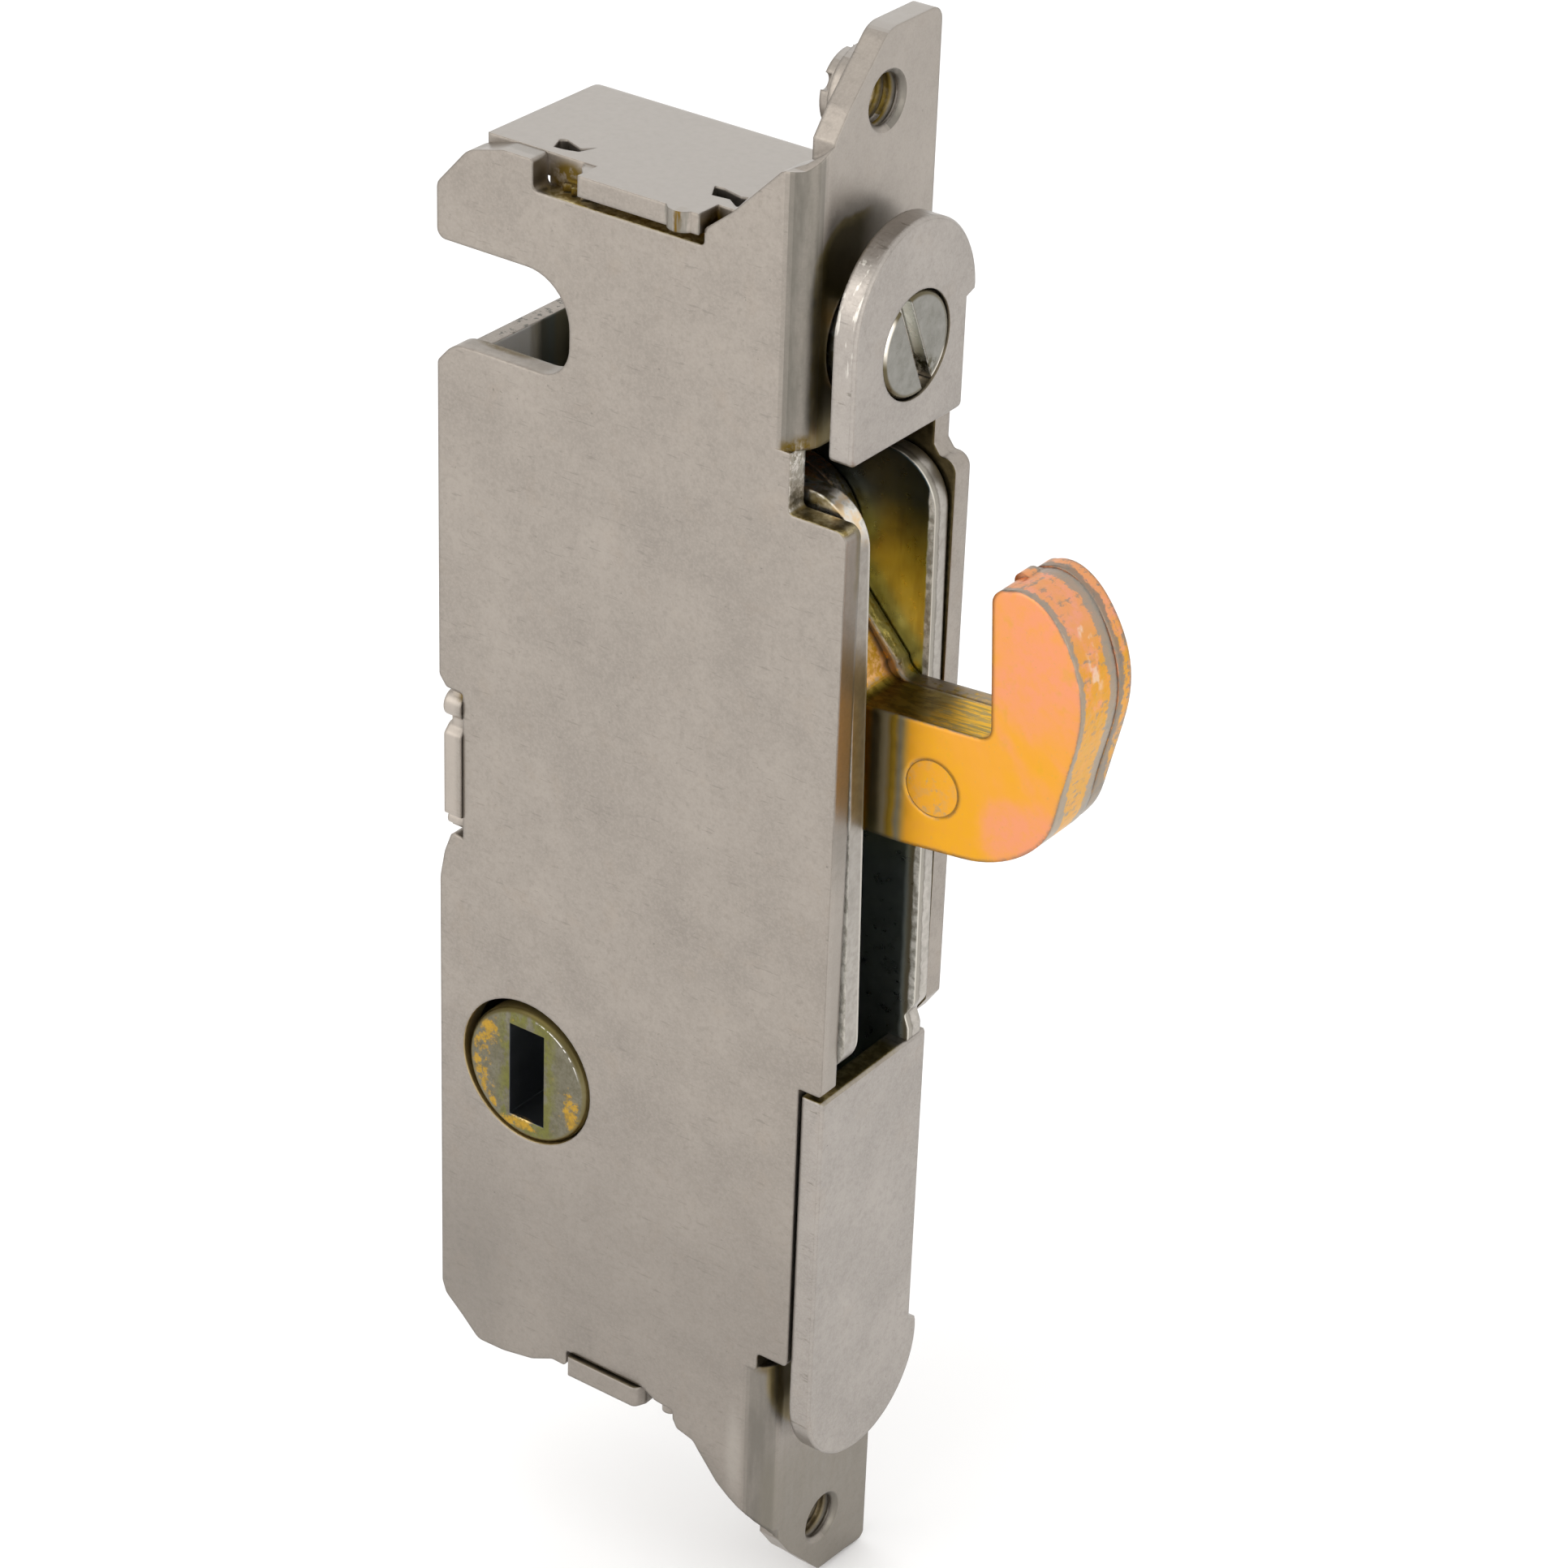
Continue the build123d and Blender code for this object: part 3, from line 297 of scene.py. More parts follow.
def case_material(name, shell):
    t = zinc_sheet(name, (0.415, 0.372, 0.328))
    x, y, z = t.xyz()
    nx, ny, nz = t.normal_xyz()
    # painted shade: the two bends of the ears are painted darker along their length
    bend = times(t, t.span(nx, 0.08, 0.45), t.span(nx, 0.93, 0.998, 1.0, 0.0), t.span(t.math("MULTIPLY", ny, -1.0), 0.03, 0.25))
    wav = t.noise(1.0, 4.0, 0.62, stretch=(1.1, 1.1, 0.20), offset=(1, 5, 9))
    if not shell:
        t.base = t.mix(t.math("MULTIPLY", bend, t.span(wav, 0.3, 0.65, 0.55, 0.92)), t.base, (0.185, 0.173, 0.148))
        # painted light: the ears' fronts, facing forward, are painted a little lighter than the cover
        t.base = t.mix(times(t, t.span(nx, 0.9, 0.99), t.span(z, 20.0, 24.0), 0.35), t.base, (0.52, 0.475, 0.43))
    # chromate left inside the folded box
    if shell:
        far_in = times(t, t.span(t.math("MULTIPLY", ny, -1.0), 0.6, 0.8), t.span(y, 3.2, 3.5))
        back_in = times(t, t.span(nx, 0.6, 0.8), t.span(x, -22.7, -22.9), t.span(y, -2.9, 0.3))
        up_in = times(t, t.span(nz, 0.6, 0.8), t.span(z, -36.0, -36.4))
        down_in = times(t, t.span(t.math("MULTIPLY", nz, -1.0), 0.6, 0.8), t.span(z, 39.0, 39.2))
        inside = most(t, far_in, back_in, up_in, down_in)
    else:
        behind = times(t, t.span(ny, 0.6, 0.8), t.span(y, -5.4, -5.3))
        ear_back = times(t, t.span(t.math("MULTIPLY", nx, -1.0), 0.5, 0.8))
        inside = most(t, behind, ear_back)
    t.base = t.mix(t.math("MULTIPLY", inside, 0.93), t.base, t.mix(t.span(t.fleck, 0.35, 0.7), (0.085, 0.062, 0.018), (0.15, 0.115, 0.045)))
    t.metal = 1.0
    if shell:
        # painted light: the chromate inside the shell is painted a lighter brown near the top, where light falls in
        t.base = t.mix(times(t, inside, t.span(z, 35.5, 37.0)), t.base, t.mix(t.span(t.fleck, 0.35, 0.6), (0.34, 0.24, 0.07), (0.62, 0.50, 0.27)))
        # painted light: the back flange's inner face under the U-notch is painted bright where light falls in at the
        # near side, over bare zinc, fading to dark chromate further in
        lit = times(t, t.span(nx, 0.6, 0.8), t.span(x, -22.7, -22.9), t.span(z, 22.0, 24.5), t.span(z, 28.3, 28.2))
        drawn = t.math("MULTIPLY_ADD", t.noise(1.0, 3.0, 0.6, stretch=(0.5, 1.6, 0.25)), 1.2, y)
        t.base = t.mix(lit, t.base, t.ramp(t.span(drawn, -3.6, 2.4, 0.0, 1.0, smooth=False), [
            (0.0, (1.0, 0.98, 0.96)), (0.55, (0.98, 0.97, 0.94)), (0.67, (0.55, 0.51, 0.42)), (0.78, (0.15, 0.15, 0.12)), (0.90, (0.16, 0.18, 0.16)), (1.0, (0.20, 0.19, 0.13))]))
        t.metal = t.math("MULTIPLY_ADD", lit, -0.85, 1.0)
        # pitted upper end of that flange
        pits = times(t, t.span(nz, 0.7, 0.9), t.span(x, -22.4, -22.6), t.span(z, 26.0, 27.0), t.span(z, 30.0, 29.0), t.span(t.noise(2.1, 4.0, 0.7, offset=(2, 2, 9)), 0.55, 0.62))
        t.base = t.mix(t.math("MULTIPLY", pits, 0.8), t.base, (0.10, 0.10, 0.085))
    # brown stain where the sheet is torn or hidden from the plating bath
    skin = most(t, times(t, t.span(t.math("MULTIPLY", ny, -1.0), 0.75, 0.95), t.span(y, -6.55, -6.63)),
                times(t, t.span(nz, 0.75, 0.95), t.span(z, 40.68, 40.76)),
                times(t, t.span(nx, 0.75, 0.95), t.span(x, -0.15, -0.04)))
    spots = [blob(t, -16.9, -5.7, 39.5, 1.9, 1.3, 1.5), blob(t, -11.0, -5.5, 39.0, 5.0, 1.0, 0.65), blob(t, -7.4, -5.3, 39.5, 1.5, 1.9, 1.6),
             blob(t, 0.2, -5.7, -31.3, 2.2, 1.6, 1.5), blob(t, -0.9, -5.6, 28.6, 1.9, 1.6, 1.3), blob(t, 1.2, -5.9, 25.3, 3.4, 1.2, 1.3),
             blob(t, -23.3, -5.7, 6.0, 1.3, 1.3, 0.9), blob(t, -18.4, -5.9, -17.9, 5.6, 1.2, 5.6), blob(t, -12.0, -6.0, -37.2, 4.0, 0.75, 0.5),
             blob(t, -21.0, -5.2, 28.2, 2.6, 0.75, 1.1), blob(t, -19.8, -5.4, 29.4, 0.9, 0.8, 1.6)]
    stain = times(t, most(t, *spots), t.math("SUBTRACT", 1.0, skin), t.span(t.noise(1.5, 4.0, 0.65, offset=(8, 1, 5)), 0.30, 0.52, 0.35, 1.0))
    t.base = t.mix(stain, t.base, BROWN)
    if shell:
        staked = times(t, t.span(y, -6.6, -6.8), t.span(x, -9.3, -9.2), t.span(z, 39.0, 39.3))
        stripe = t.math("ABSOLUTE", t.math("MULTIPLY_ADD", t.noise(1.1, 3.0, 0.6), 0.5, t.math("ADD", x, 7.75)))
        t.base = t.mix(times(t, staked, t.span(stripe, 0.30, 0.14)), t.base, (0.19, 0.115, 0.020))
        drawn_up = t.noise(1.0, 3.0, 0.6, stretch=(2.8, 2.8, 0.35), offset=(2, 7, 1))
        t.base = t.mix(times(t, staked, t.span(drawn_up, 0.46, 0.62, 0.0, 0.7)), t.base, (0.26, 0.245, 0.21))
        t.base = t.mix(times(t, t.span(x, -23.4, -23.8), t.span(y, -5.2, -5.4), 0.6), t.base, (0.58, 0.52, 0.46))
    # the notch floor under the top tab: an olive-brown stain, painted lighter as painted light in the tab's shadow
    floor_lip = times(t, blob(t, -11.8, -5.9, 38.8, 7.2, 1.4, 1.1, soft=0.7), t.span(nz, 0.55, 0.85))
    t.base = t.mix(floor_lip, t.base, t.mix(t.span(t.fleck, 0.40, 0.62), (0.40, 0.30, 0.09), (0.80, 0.70, 0.42)))
    if not shell:
        notch_end = times(t, blob(t, -6.75, -5.9, 39.7, 0.5, 1.6, 1.1, soft=0.5), t.span(t.math("ABSOLUTE", nx), 0.4, 0.7))
        t.base = t.mix(t.math("MULTIPLY", notch_end, 0.9), t.base, (0.50, 0.34, 0.09))
        # the floor of the front edge's step: a brown stain, painted lighter as painted light
        floor_step = times(t, blob(t, 1.2, -5.9, 25.3, 3.6, 1.4, 1.0, soft=0.7), t.span(nz, 0.55, 0.85))
        t.base = t.mix(floor_step, t.base, t.mix(t.span(t.fleck, 0.40, 0.62), (0.30, 0.22, 0.065), (0.62, 0.52, 0.28)))
        # painted light: the wall of the hub's hole, in shade, is painted a bright brown
        hub_wall = times(t, blob(t, -18.39, -5.9, -17.9, 5.1, 3.0, 5.1, soft=0.97), t.span(t.math("ABSOLUTE", ny), 0.5, 0.3))
        t.base = t.mix(hub_wall, t.base, (0.95, 0.72, 0.32))
        # ear bores: chromate in the threads
        for zc in (46.83, -46.83):
            ring = blob(t, -1.3, 0.0, zc, 1.25, 1.85, 1.85, soft=0.86)
            deep = t.span(x, -0.14, -0.5)
            t.base = t.mix(times(t, ring, deep, t.span(t.fleck, 0.30, 0.55, 0.72, 1.0)), t.base, (0.17, 0.115, 0.022))
        # creases pressed into the lower ear beside its bend
        crease = times(t, t.span(z, -33.0, -35.0), t.span(z, -46.5, -43.0))
        wrinkle = t.noise(1.0, 2.0, 0.5, stretch=(0.55, 0.55, 0.09), offset=(3, 3, 7))
        t.normal = t.bump(t.math("MULTIPLY", wrinkle, crease), 0.55, 0.35, t.normal)
        # brown stain on the ears round the face plates, darkened next to the plates as painted shadow
        out_y = t.math("MAXIMUM", t.math("SUBTRACT", -3.3, y), 0.0)
        out_z = t.math("MAXIMUM", t.math("SUBTRACT", z, 39.0), 0.0)
        reach = t.math("SQRT", t.math("ADD", t.math("MULTIPLY", out_y, out_y), t.math("MULTIPLY", out_z, out_z)))
        reach = t.math("MULTIPLY_ADD", t.noise(0.9, 3.0, 0.6, offset=(6, 6, 1)), 0.35, reach)
        upper = times(t, t.span(z, 20.0, 22.0), t.span(reach, 2.66, 2.30), t.span(y, -0.4, -2.2))
        lower = blob(t, 0.0, -0.8, -32.9, 3.0, 5.40, 5.30, soft=0.90)
        shade_core = most(t, times(t, t.span(z, 20.0, 22.0), t.span(reach, 2.35, 1.75)), blob(t, 0.0, -0.8, -31.0, 3.0, 4.9, 6.0, soft=0.80))
        stain_and_shade = times(t, t.span(nx, 0.6, 0.85), t.span(x, -0.75, -0.45), most(t, upper, lower))
        warm_stain_shade = t.mix(t.span(t.noise(0.8, 3.0, 0.6, stretch=(1, 1, 0.4), offset=(4, 7, 2)), 0.40, 0.62), (0.22, 0.170, 0.060), (0.30, 0.240, 0.110))
        warm_stain_shade = t.mix(t.span(z, -20.0, -25.0), warm_stain_shade, (0.46, 0.35, 0.12))
        deep_stain_shade = t.mix(t.span(z, -20.0, -25.0), (0.110, 0.084, 0.026), (0.34, 0.25, 0.07))
        warm_stain_shade = t.mix(t.math("MULTIPLY", shade_core, 0.85), warm_stain_shade, deep_stain_shade)
        t.base = t.mix(t.math("MULTIPLY", stain_and_shade, 0.95), t.base, warm_stain_shade)
    # painted shade and light: the lower third is painted a little darker, and the top flange, facing up, cooler and
    # lighter
    t.base = t.mix(t.span(z, -12.0, -30.0, 0.0, 0.30), t.base, (0.26, 0.235, 0.21))
    t.base = t.mix(times(t, t.span(nz, 0.8, 0.95), t.span(z, 40.0, 40.5), 0.85), t.base, (0.55, 0.515, 0.48))
    # sheared edges: smooth near the skin, rougher and greyer behind
    side = times(t, t.span(t.math("ABSOLUTE", ny), 0.5, 0.3), t.span(t.math("ABSOLUTE", t.math("ADD", y, 5.95)), 0.75, 0.7))
    if not shell:
        torn = times(t, side, t.span(t.math("MULTIPLY_ADD", t.noise(1.4, 3.0, 0.6), 0.5, y), -6.05, -5.75), t.span(z, -44.0, -43.0))
        t.base = t.mix(t.math("MULTIPLY", torn, 0.30), t.base, (0.27, 0.25, 0.22))
        shade = times(t, side, t.span(nx, 0.7, 0.9), t.span(z, 2.0, 6.0), t.span(z, 26.0, 24.0))
        t.base = t.mix(t.math("MULTIPLY", shade, 0.40), t.base, (0.225, 0.205, 0.175))
        # painted light: the front edge below the shaded stretch is painted lighter
        low_edge = times(t, side, t.span(nx, 0.7, 0.9), t.span(z, 4.0, 1.0), t.span(z, -12.0, -10.0))
        t.base = t.mix(t.math("MULTIPLY", low_edge, 0.38), t.base, (0.50, 0.45, 0.40))
        # the short step of the front edge above it catches the light
        step = times(t, t.span(nx, 0.6, 0.9), t.span(x, -0.3, -0.6), t.span(z, 24.6, 25.2), t.span(z, 29.4, 28.9), t.span(t.fine, 0.40, 0.52, 0.55, 1.0))
        t.base = t.mix(step, t.base, t.mix(t.span(t.fleck, 0.42, 0.6), (0.42, 0.39, 0.33), (0.80, 0.76, 0.70)))
        # painted shade: the cover's lower left corner and the belly above the lower ear, where the sheet curves, are
        # painted darker; the ridge beside them is painted lighter as a painted highlight, and the lower ear's front is
        # darker towards its foot
        t.base = t.mix(times(t, blob(t, -23.5, -6.6, -33.5, 6.5, 3.0, 8.0, soft=0.2), 0.26), t.base, (0.20, 0.185, 0.165))
        t.base = t.mix(times(t, blob(t, -5.2, -6.4, -45.2, 4.4, 2.5, 7.2, soft=0.30), 0.78), t.base, (0.20, 0.182, 0.155))
        ridge = times(t, blob(t, -2.2, -6.4, -38.5, 0.9, 2.0, 4.5, soft=0.2), 0.5)
        t.base = t.mix(ridge, t.base, (0.52, 0.48, 0.43))
        t.base = t.mix(times(t, t.span(nx, 0.6, 0.9), t.span(z, -37.0, -41.0), 0.5), t.base, (0.255, 0.232, 0.185))
    return done(t)


def plate_material():
    t = zinc_sheet("face_plate_zinc", (0.450, 0.412, 0.376), line=(0.13, 0.115, 0.085), line_width=0.14, line_amount=0.8, rough=(0.32, 0.42))
    x, y, z = t.xyz()
    nx, ny, nz = t.normal_xyz()
    side = t.span(t.math("ABSOLUTE", nx), 0.6, 0.3)
    cracks = t.noise(1.0, 4.0, 0.62, stretch=(0.5, 2.0, 2.6), offset=(4, 4, 4))
    t.base = t.mix(times(t, side, t.span(cracks, 0.60, 0.68, 0.0, 0.6)), t.base, (0.20, 0.18, 0.15))
    t.base = t.mix(times(t, t.span(t.math("MULTIPLY", nx, -1.0), 0.5, 0.9), 0.9), t.base, (0.10, 0.08, 0.03))
    t.normal = t.bump(t.math("MULTIPLY", cracks, side), 0.4, 0.05, t.normal)
    # painted glints along the near side edges of the top plate's upper part
    edge_glints = times(t, side, t.span(y, -2.6, -4.0), t.span(t.math("ABSOLUTE", t.math("SUBTRACT", z, 37.2)), 3.6, 2.6),
                  t.span(t.noise(1.0, 3.0, 0.6, stretch=(2.6, 1.4, 0.45), offset=(5, 2, 2)), 0.58, 0.66))
    t.base = t.mix(t.math("MULTIPLY", edge_glints, 0.55), t.base, (1.0, 0.96, 0.88))
    # the lower plate's top edge missed the plating
    bare = times(t, t.span(nz, 0.6, 0.9), t.span(z, -11.9, -11.6), t.span(z, -11.0, -11.2), t.span(t.math("MULTIPLY_ADD", t.noise(0.8, 3.0, 0.6), 1.6, y), 2.9, 1.4))
    t.base = t.mix(t.math("MULTIPLY", bare, 0.95), t.base, t.mix(t.span(t.noise(1.5, 4.0, 0.66, offset=(6, 2, 2)), 0.40, 0.64), (0.19, 0.135, 0.030), (0.42, 0.34, 0.14)))
    # greenish rim round the screw's hole
    ring = times(t, blob(t, 3.0, -0.71, 34.05, 1.0, 3.45, 3.45, soft=0.86), t.span(t.math("ABSOLUTE", nx), 0.9, 0.8))
    t.base = t.mix(t.math("MULTIPLY", ring, 0.9), t.base, (0.10, 0.075, 0.02))
    return done(t)


def wall_material():
    t = Tree("carriage_chromate")
    x, y, z = t.xyz()
    nx, ny, nz = t.normal_xyz()
    drift = t.noise(0.22, 3.0, 0.55, distort=0.5)
    base = t.ramp(drift, [(0.3, (0.62, 0.62, 0.17)), (0.5, (0.76, 0.79, 0.23)), (0.7, (0.86, 0.90, 0.33))])
    streak = t.noise(1.0, 3.0, 0.6, stretch=(0.9, 0.9, 0.16), offset=(7, 1, 3))
    base = t.mix(t.span(streak, 0.45, 0.70, 0.0, 0.45), base, (0.40, 0.36, 0.09))
    # painted shade: the walls are painted dark grey towards their tops, under the top face plate, bluer on the far
    # wall's front part
    top_shade = t.mix(times(t, t.span(x, -9.0, -6.0), t.span(y, 1.0, 2.0)), (0.105, 0.098, 0.070), (0.064, 0.100, 0.140))
    base = t.mix(t.span(z, 19.5, 23.5, 0.0, 0.96), base, top_shade)
    base = t.mix(t.span(z, 8.0, -1.0, 0.0, 0.90), base, (0.42, 0.47, 0.50))
    # the near wall's outer side, bared when the carriage is out, is duller than the inside
    skin = times(t, t.span(t.math("MULTIPLY", ny, -1.0), 0.6, 0.8), t.span(y, -4.4, -4.7))
    base = t.mix(skin, base, t.mix(t.span(drift, 0.35, 0.65), (0.36, 0.34, 0.25), (0.42, 0.40, 0.32)))
    side =t.span(t.math("ABSOLUTE", ny), 0.65, 0.35)
    fleck = t.noise(1.9, 4.0, 0.6, offset=(2, 8, 1))
    grey = t.ramp(fleck, [(0.32, (0.40, 0.37, 0.33)), (0.66, (0.53, 0.495, 0.45))])
    grey = t.mix(t.span(z, 2.0, -2.0), grey, t.mix(t.span(fleck, 0.32, 0.66), (0.45, 0.42, 0.375), (0.60, 0.56, 0.51)))
    grey = t.mix(t.span(y, -1.0, -2.0, 0.0, 0.32), grey, (0.27, 0.245, 0.22))
    base = t.mix(side, base, grey)
    # inside, the far wall turns brown and then bright and rough towards its sheared front edge; the bright strip is
    # partly a painted highlight on the rounded edge
    inward = times(t, t.span(t.math("MULTIPLY", ny, -1.0), 0.6, 0.8), t.span(y, 1.0, 2.0))
    depth = t.math("ADD", x, t.math("MULTIPLY", z, 0.0127))
    depth = t.math("MULTIPLY_ADD", t.noise(1.6, 4.0, 0.7, stretch=(1, 1, 0.5), offset=(9, 2, 3)), 0.30, depth)
    tan = times(t, inward, t.span(depth, 2.25, 2.80), t.span(z, 9.0, 3.0), 0.85)
    base = t.mix(tan, base, (0.085, 0.052, 0.006))
    rough_lip_sheen = times(t, inward, t.span(depth, 2.90, 3.04), t.span(z, 25.5, 23.5))
    base = t.mix(rough_lip_sheen, base, t.mix(t.span(fleck, 0.38, 0.64), (0.33, 0.31, 0.26), (0.74, 0.71, 0.65)))
    # grey, rough skin of the near wall where it stands proud of the cover
    proud = times(t, t.span(t.math("MULTIPLY", ny, -1.0), 0.6, 0.8), t.span(y, -4.7, -4.9), t.span(x, 2.3, 2.6), t.span(z, 24.0, 22.0))
    base = t.mix(proud, base, t.mix(t.span(t.noise(2.4, 4.0, 0.66, stretch=(1, 1, 0.6), offset=(4, 4, 8)), 0.38, 0.62), (0.36, 0.335, 0.285), (0.74, 0.70, 0.63)))
    t.metal = t.math("MULTIPLY_ADD", most(t, rough_lip_sheen, proud, tan), -0.92, 1.0)
    # bright, jagged sheared lip along the inner edge of each wall
    jag = t.math("MULTIPLY_ADD", t.noise(1.3, 4.0, 0.7, offset=(5, 2, 9)), 0.5, 0.0)
    far_lip = t.span(t.math("ADD", y, t.math("MULTIPLY", jag, -1.0)), 2.36, 2.22)
    near_lip = t.span(y, -3.86, -3.72)
    lip = times(t, side, most(t, times(t, far_lip, t.span(y, 0.0, 1.0)), times(t, near_lip, t.span(y, -3.0, -3.4))))
    base = t.mix(t.math("MULTIPLY", lip, 0.85), base, (0.72, 0.68, 0.60))
    t.base = t.mix(times(t, side, t.span(t.math("ADD", y, t.math("MULTIPLY", jag, -1.0)), 2.50, 2.40), t.span(y, 2.25, 2.30), 0.55), base, (0.15, 0.13, 0.10))
    # painted highlight: the near wall's top corner is painted with bright glints, gold above and grey below
    outer = times(t, t.span(y, -3.2, -3.4), t.span(z, 23.0, 24.5))
    t.base = t.mix(t.math("MULTIPLY", outer, 0.85), t.base, t.ramp(t.noise(0.8, 3.0, 0.6), [(0.38, (0.36, 0.31, 0.18)), (0.50, (0.95, 0.92, 0.86)), (0.62, (0.98, 0.74, 0.44))]))
    t.rough = t.mix(side, t.span(fleck, 0.3, 0.7, 0.26, 0.36, smooth=False), (0.34, 0.34, 0.34))
    n1 = t.bump(t.noise(0.7, 3.0, 0.5), 0.25, 0.05, t.bevel(0.2))
    t.normal = t.bump(t.math("ADD", t.math("MULTIPLY", fleck, 0.5), t.math("MULTIPLY", lip, 0.4)), 0.25, 0.02, n1)
    return done(t)


def hook_material(name, thin):
    """Yellow-chromated hook: gold on the arm, salmon on the claw, worn grey along its rims."""
    t = Tree(name)
    x, y, z = t.xyz()
    nx, ny, nz = t.normal_xyz()
    gold, orange, salmon, pink = (0.91, 0.43, 0.030), (0.93, 0.42, 0.055), (0.935, 0.385, 0.125), (0.935, 0.365, 0.180)
    drift = t.noise(0.20, 3.0, 0.55, distort=0.5, offset=(3, 0, 8))
    upward = t.math("MULTIPLY_ADD", t.math("SUBTRACT", z, 13.5), 0.030, t.math("MULTIPLY", t.math("SUBTRACT", x, 9.0), 0.030))
    v = t.math("ADD", drift, upward)
    # the claw's toe at the bottom is salmon again
    toe = blob(t, 13.0, -2.85, 7.8, 4.0, 6.0, 3.4, soft=0.25)
    v = t.math("MULTIPLY_ADD", toe, 0.46, v)
    heart = blob(t, 12.0, -2.85, 16.5, 2.6, 6.0, 5.2, soft=0.2)
    v = t.math("MULTIPLY_ADD", heart, 0.16, v)
    base = t.ramp(v, [(0.40, gold), (0.55, orange), (0.68, salmon), (0.86, pink)])
    mott = t.noise(1.6, 4.0, 0.62, offset=(2, 8, 1))
    base = t.mix(t.span(mott, 0.42, 0.70, 0.0, 0.38), base, orange)
    olive = t.noise(0.55, 3.0, 0.6, offset=(6, 1, 4))
    base = t.mix(t.span(olive, 0.60, 0.72, 0.0, 0.30), base, (0.74, 0.43, 0.025))
    speck = t.noise(4.5, 3.0, 0.6, offset=(9, 9, 2))
    base = t.mix(t.span(speck, 0.64, 0.72, 0.0, 0.30), base, (0.62, 0.40, 0.13))
    # grey bands where the hook was gripped, next to the case
    band = times(t, t.span(t.math("MULTIPLY", ny, -1.0), 0.7, 0.9), t.span(x, 5.5, 4.75), t.span(x, 2.4, 3.0))
    wave = t.ramp(t.span(t.math("MULTIPLY_ADD", t.noise(0.9, 2.0), 0.25, x), 3.3, 5.3, 0.0, 1.0, smooth=False),
                  [(0.0, (0.20, 0.18, 0.105)), (0.30, (0.27, 0.245, 0.165)), (0.48, (0.27, 0.18, 0.022)), (0.60, (0.40, 0.26, 0.03)), (0.76, (0.26, 0.25, 0.185)), (1.0, (0.42, 0.33, 0.10))])
    base = t.mix(t.math("MULTIPLY", band, 0.95), base, wave)
    # rim faces
    side = t.span(t.math("ABSOLUTE", ny), 0.7, 0.4)
    rim_mott = t.noise(1.0, 4.0, 0.66, stretch=(0.8, 0.8, 0.8), offset=(1, 7, 3))
    rim = t.ramp(t.math("ADD", rim_mott, t.math("MULTIPLY", upward, 0.7)), [(0.54, (0.80, 0.41, 0.035)), (0.78, (0.90, 0.40, 0.055)), (0.94, (0.95, 0.40, 0.23))])
    rim = t.mix(t.span(z, 19.0, 22.0, 0.0, 0.55), rim, (0.95, 0.40, 0.26))
    rim = t.mix(t.span(z, 17.5, 14.5, 0.0, 0.45), rim, (0.86, 0.42, 0.030))
    worn = t.noise(1.9, 5.0, 0.70, offset=(8, 3, 6))
    worn_stretch = t.noise(1.0, 4.0, 0.65, stretch=(2.6, 0.5, 2.6), offset=(4, 2, 8))
    rim = t.mix(t.span(t.math("ADD", t.math("MULTIPLY", worn, 0.5), t.math("MULTIPLY", worn_stretch, 0.5)), 0.52, 0.62, 0.0, 0.8), rim, (0.33, 0.29, 0.235))
    # upper face of the arm: olive, with grey drawn lines
    top = times(t, t.span(nz, 0.6, 0.9), t.span(z, 15.5, 14.5))
    lines = t.noise(1.0, 4.0, 0.62, stretch=(0.28, 4.5, 0.3), offset=(3, 8, 2))
    arm_top = t.mix(t.span(lines, 0.44, 0.60), (0.99, 0.54, 0.014), (0.48, 0.33, 0.045))
    flakes = t.noise(1.0, 5.0, 0.72, stretch=(0.75, 1.8, 0.8), offset=(6, 4, 9))
    arm_top = t.mix(t.span(flakes, 0.50, 0.58, 0.0, 0.6), arm_top, (0.38, 0.31, 0.13))
    # the arm's top is darker towards the case
    arm_top_dark = t.mix(t.span(flakes, 0.42, 0.60), (0.13, 0.092, 0.018), (0.34, 0.245, 0.055))
    arm_top = t.mix(t.span(t.math("MULTIPLY_ADD", t.noise(0.9, 3.0, 0.6), 3.0, x), 9.0, 6.4, 0.0, 0.92), arm_top, arm_top_dark)
    rim = t.mix(top, rim, arm_top)
    # shank's front edge: coppery, with painted glints
    shank = times(t, t.span(nx, 0.3, 0.6), t.span(x, 3.2, 2.4), t.span(z, 13.0, 13.6))
    if thin:
        stretch_line = t.math("MULTIPLY_ADD", t.noise(1.2, 3.0, 0.6, offset=(2, 2, 5)), 0.5, y)
        shank_glints = times(t, t.span(stretch_line, 1.08, 1.20), t.span(stretch_line, 1.86, 1.68), t.span(t.noise(2.0, 4.0, 0.68, stretch=(1, 1, 0.6), offset=(1, 8, 4)), 0.42, 0.54))
        rim = t.mix(t.math("MULTIPLY", shank, 0.95), rim, t.mix(shank_glints, (0.19, 0.125, 0.030), (1.0, 0.78, 0.60)))
    else:
        rim = t.mix(t.math("MULTIPLY", shank, 0.9), rim, t.mix(t.span(worn, 0.42, 0.58), (0.66, 0.34, 0.045), (0.98, 0.56, 0.26)))
    base = t.mix(side, base, rim)
    if thin:
        base = t.mix(t.span(t.math("ADD", worn, t.math("MULTIPLY", upward, -0.25)), 0.42, 0.54, 0.0, 0.72), base, (0.31, 0.26, 0.215))
    else:
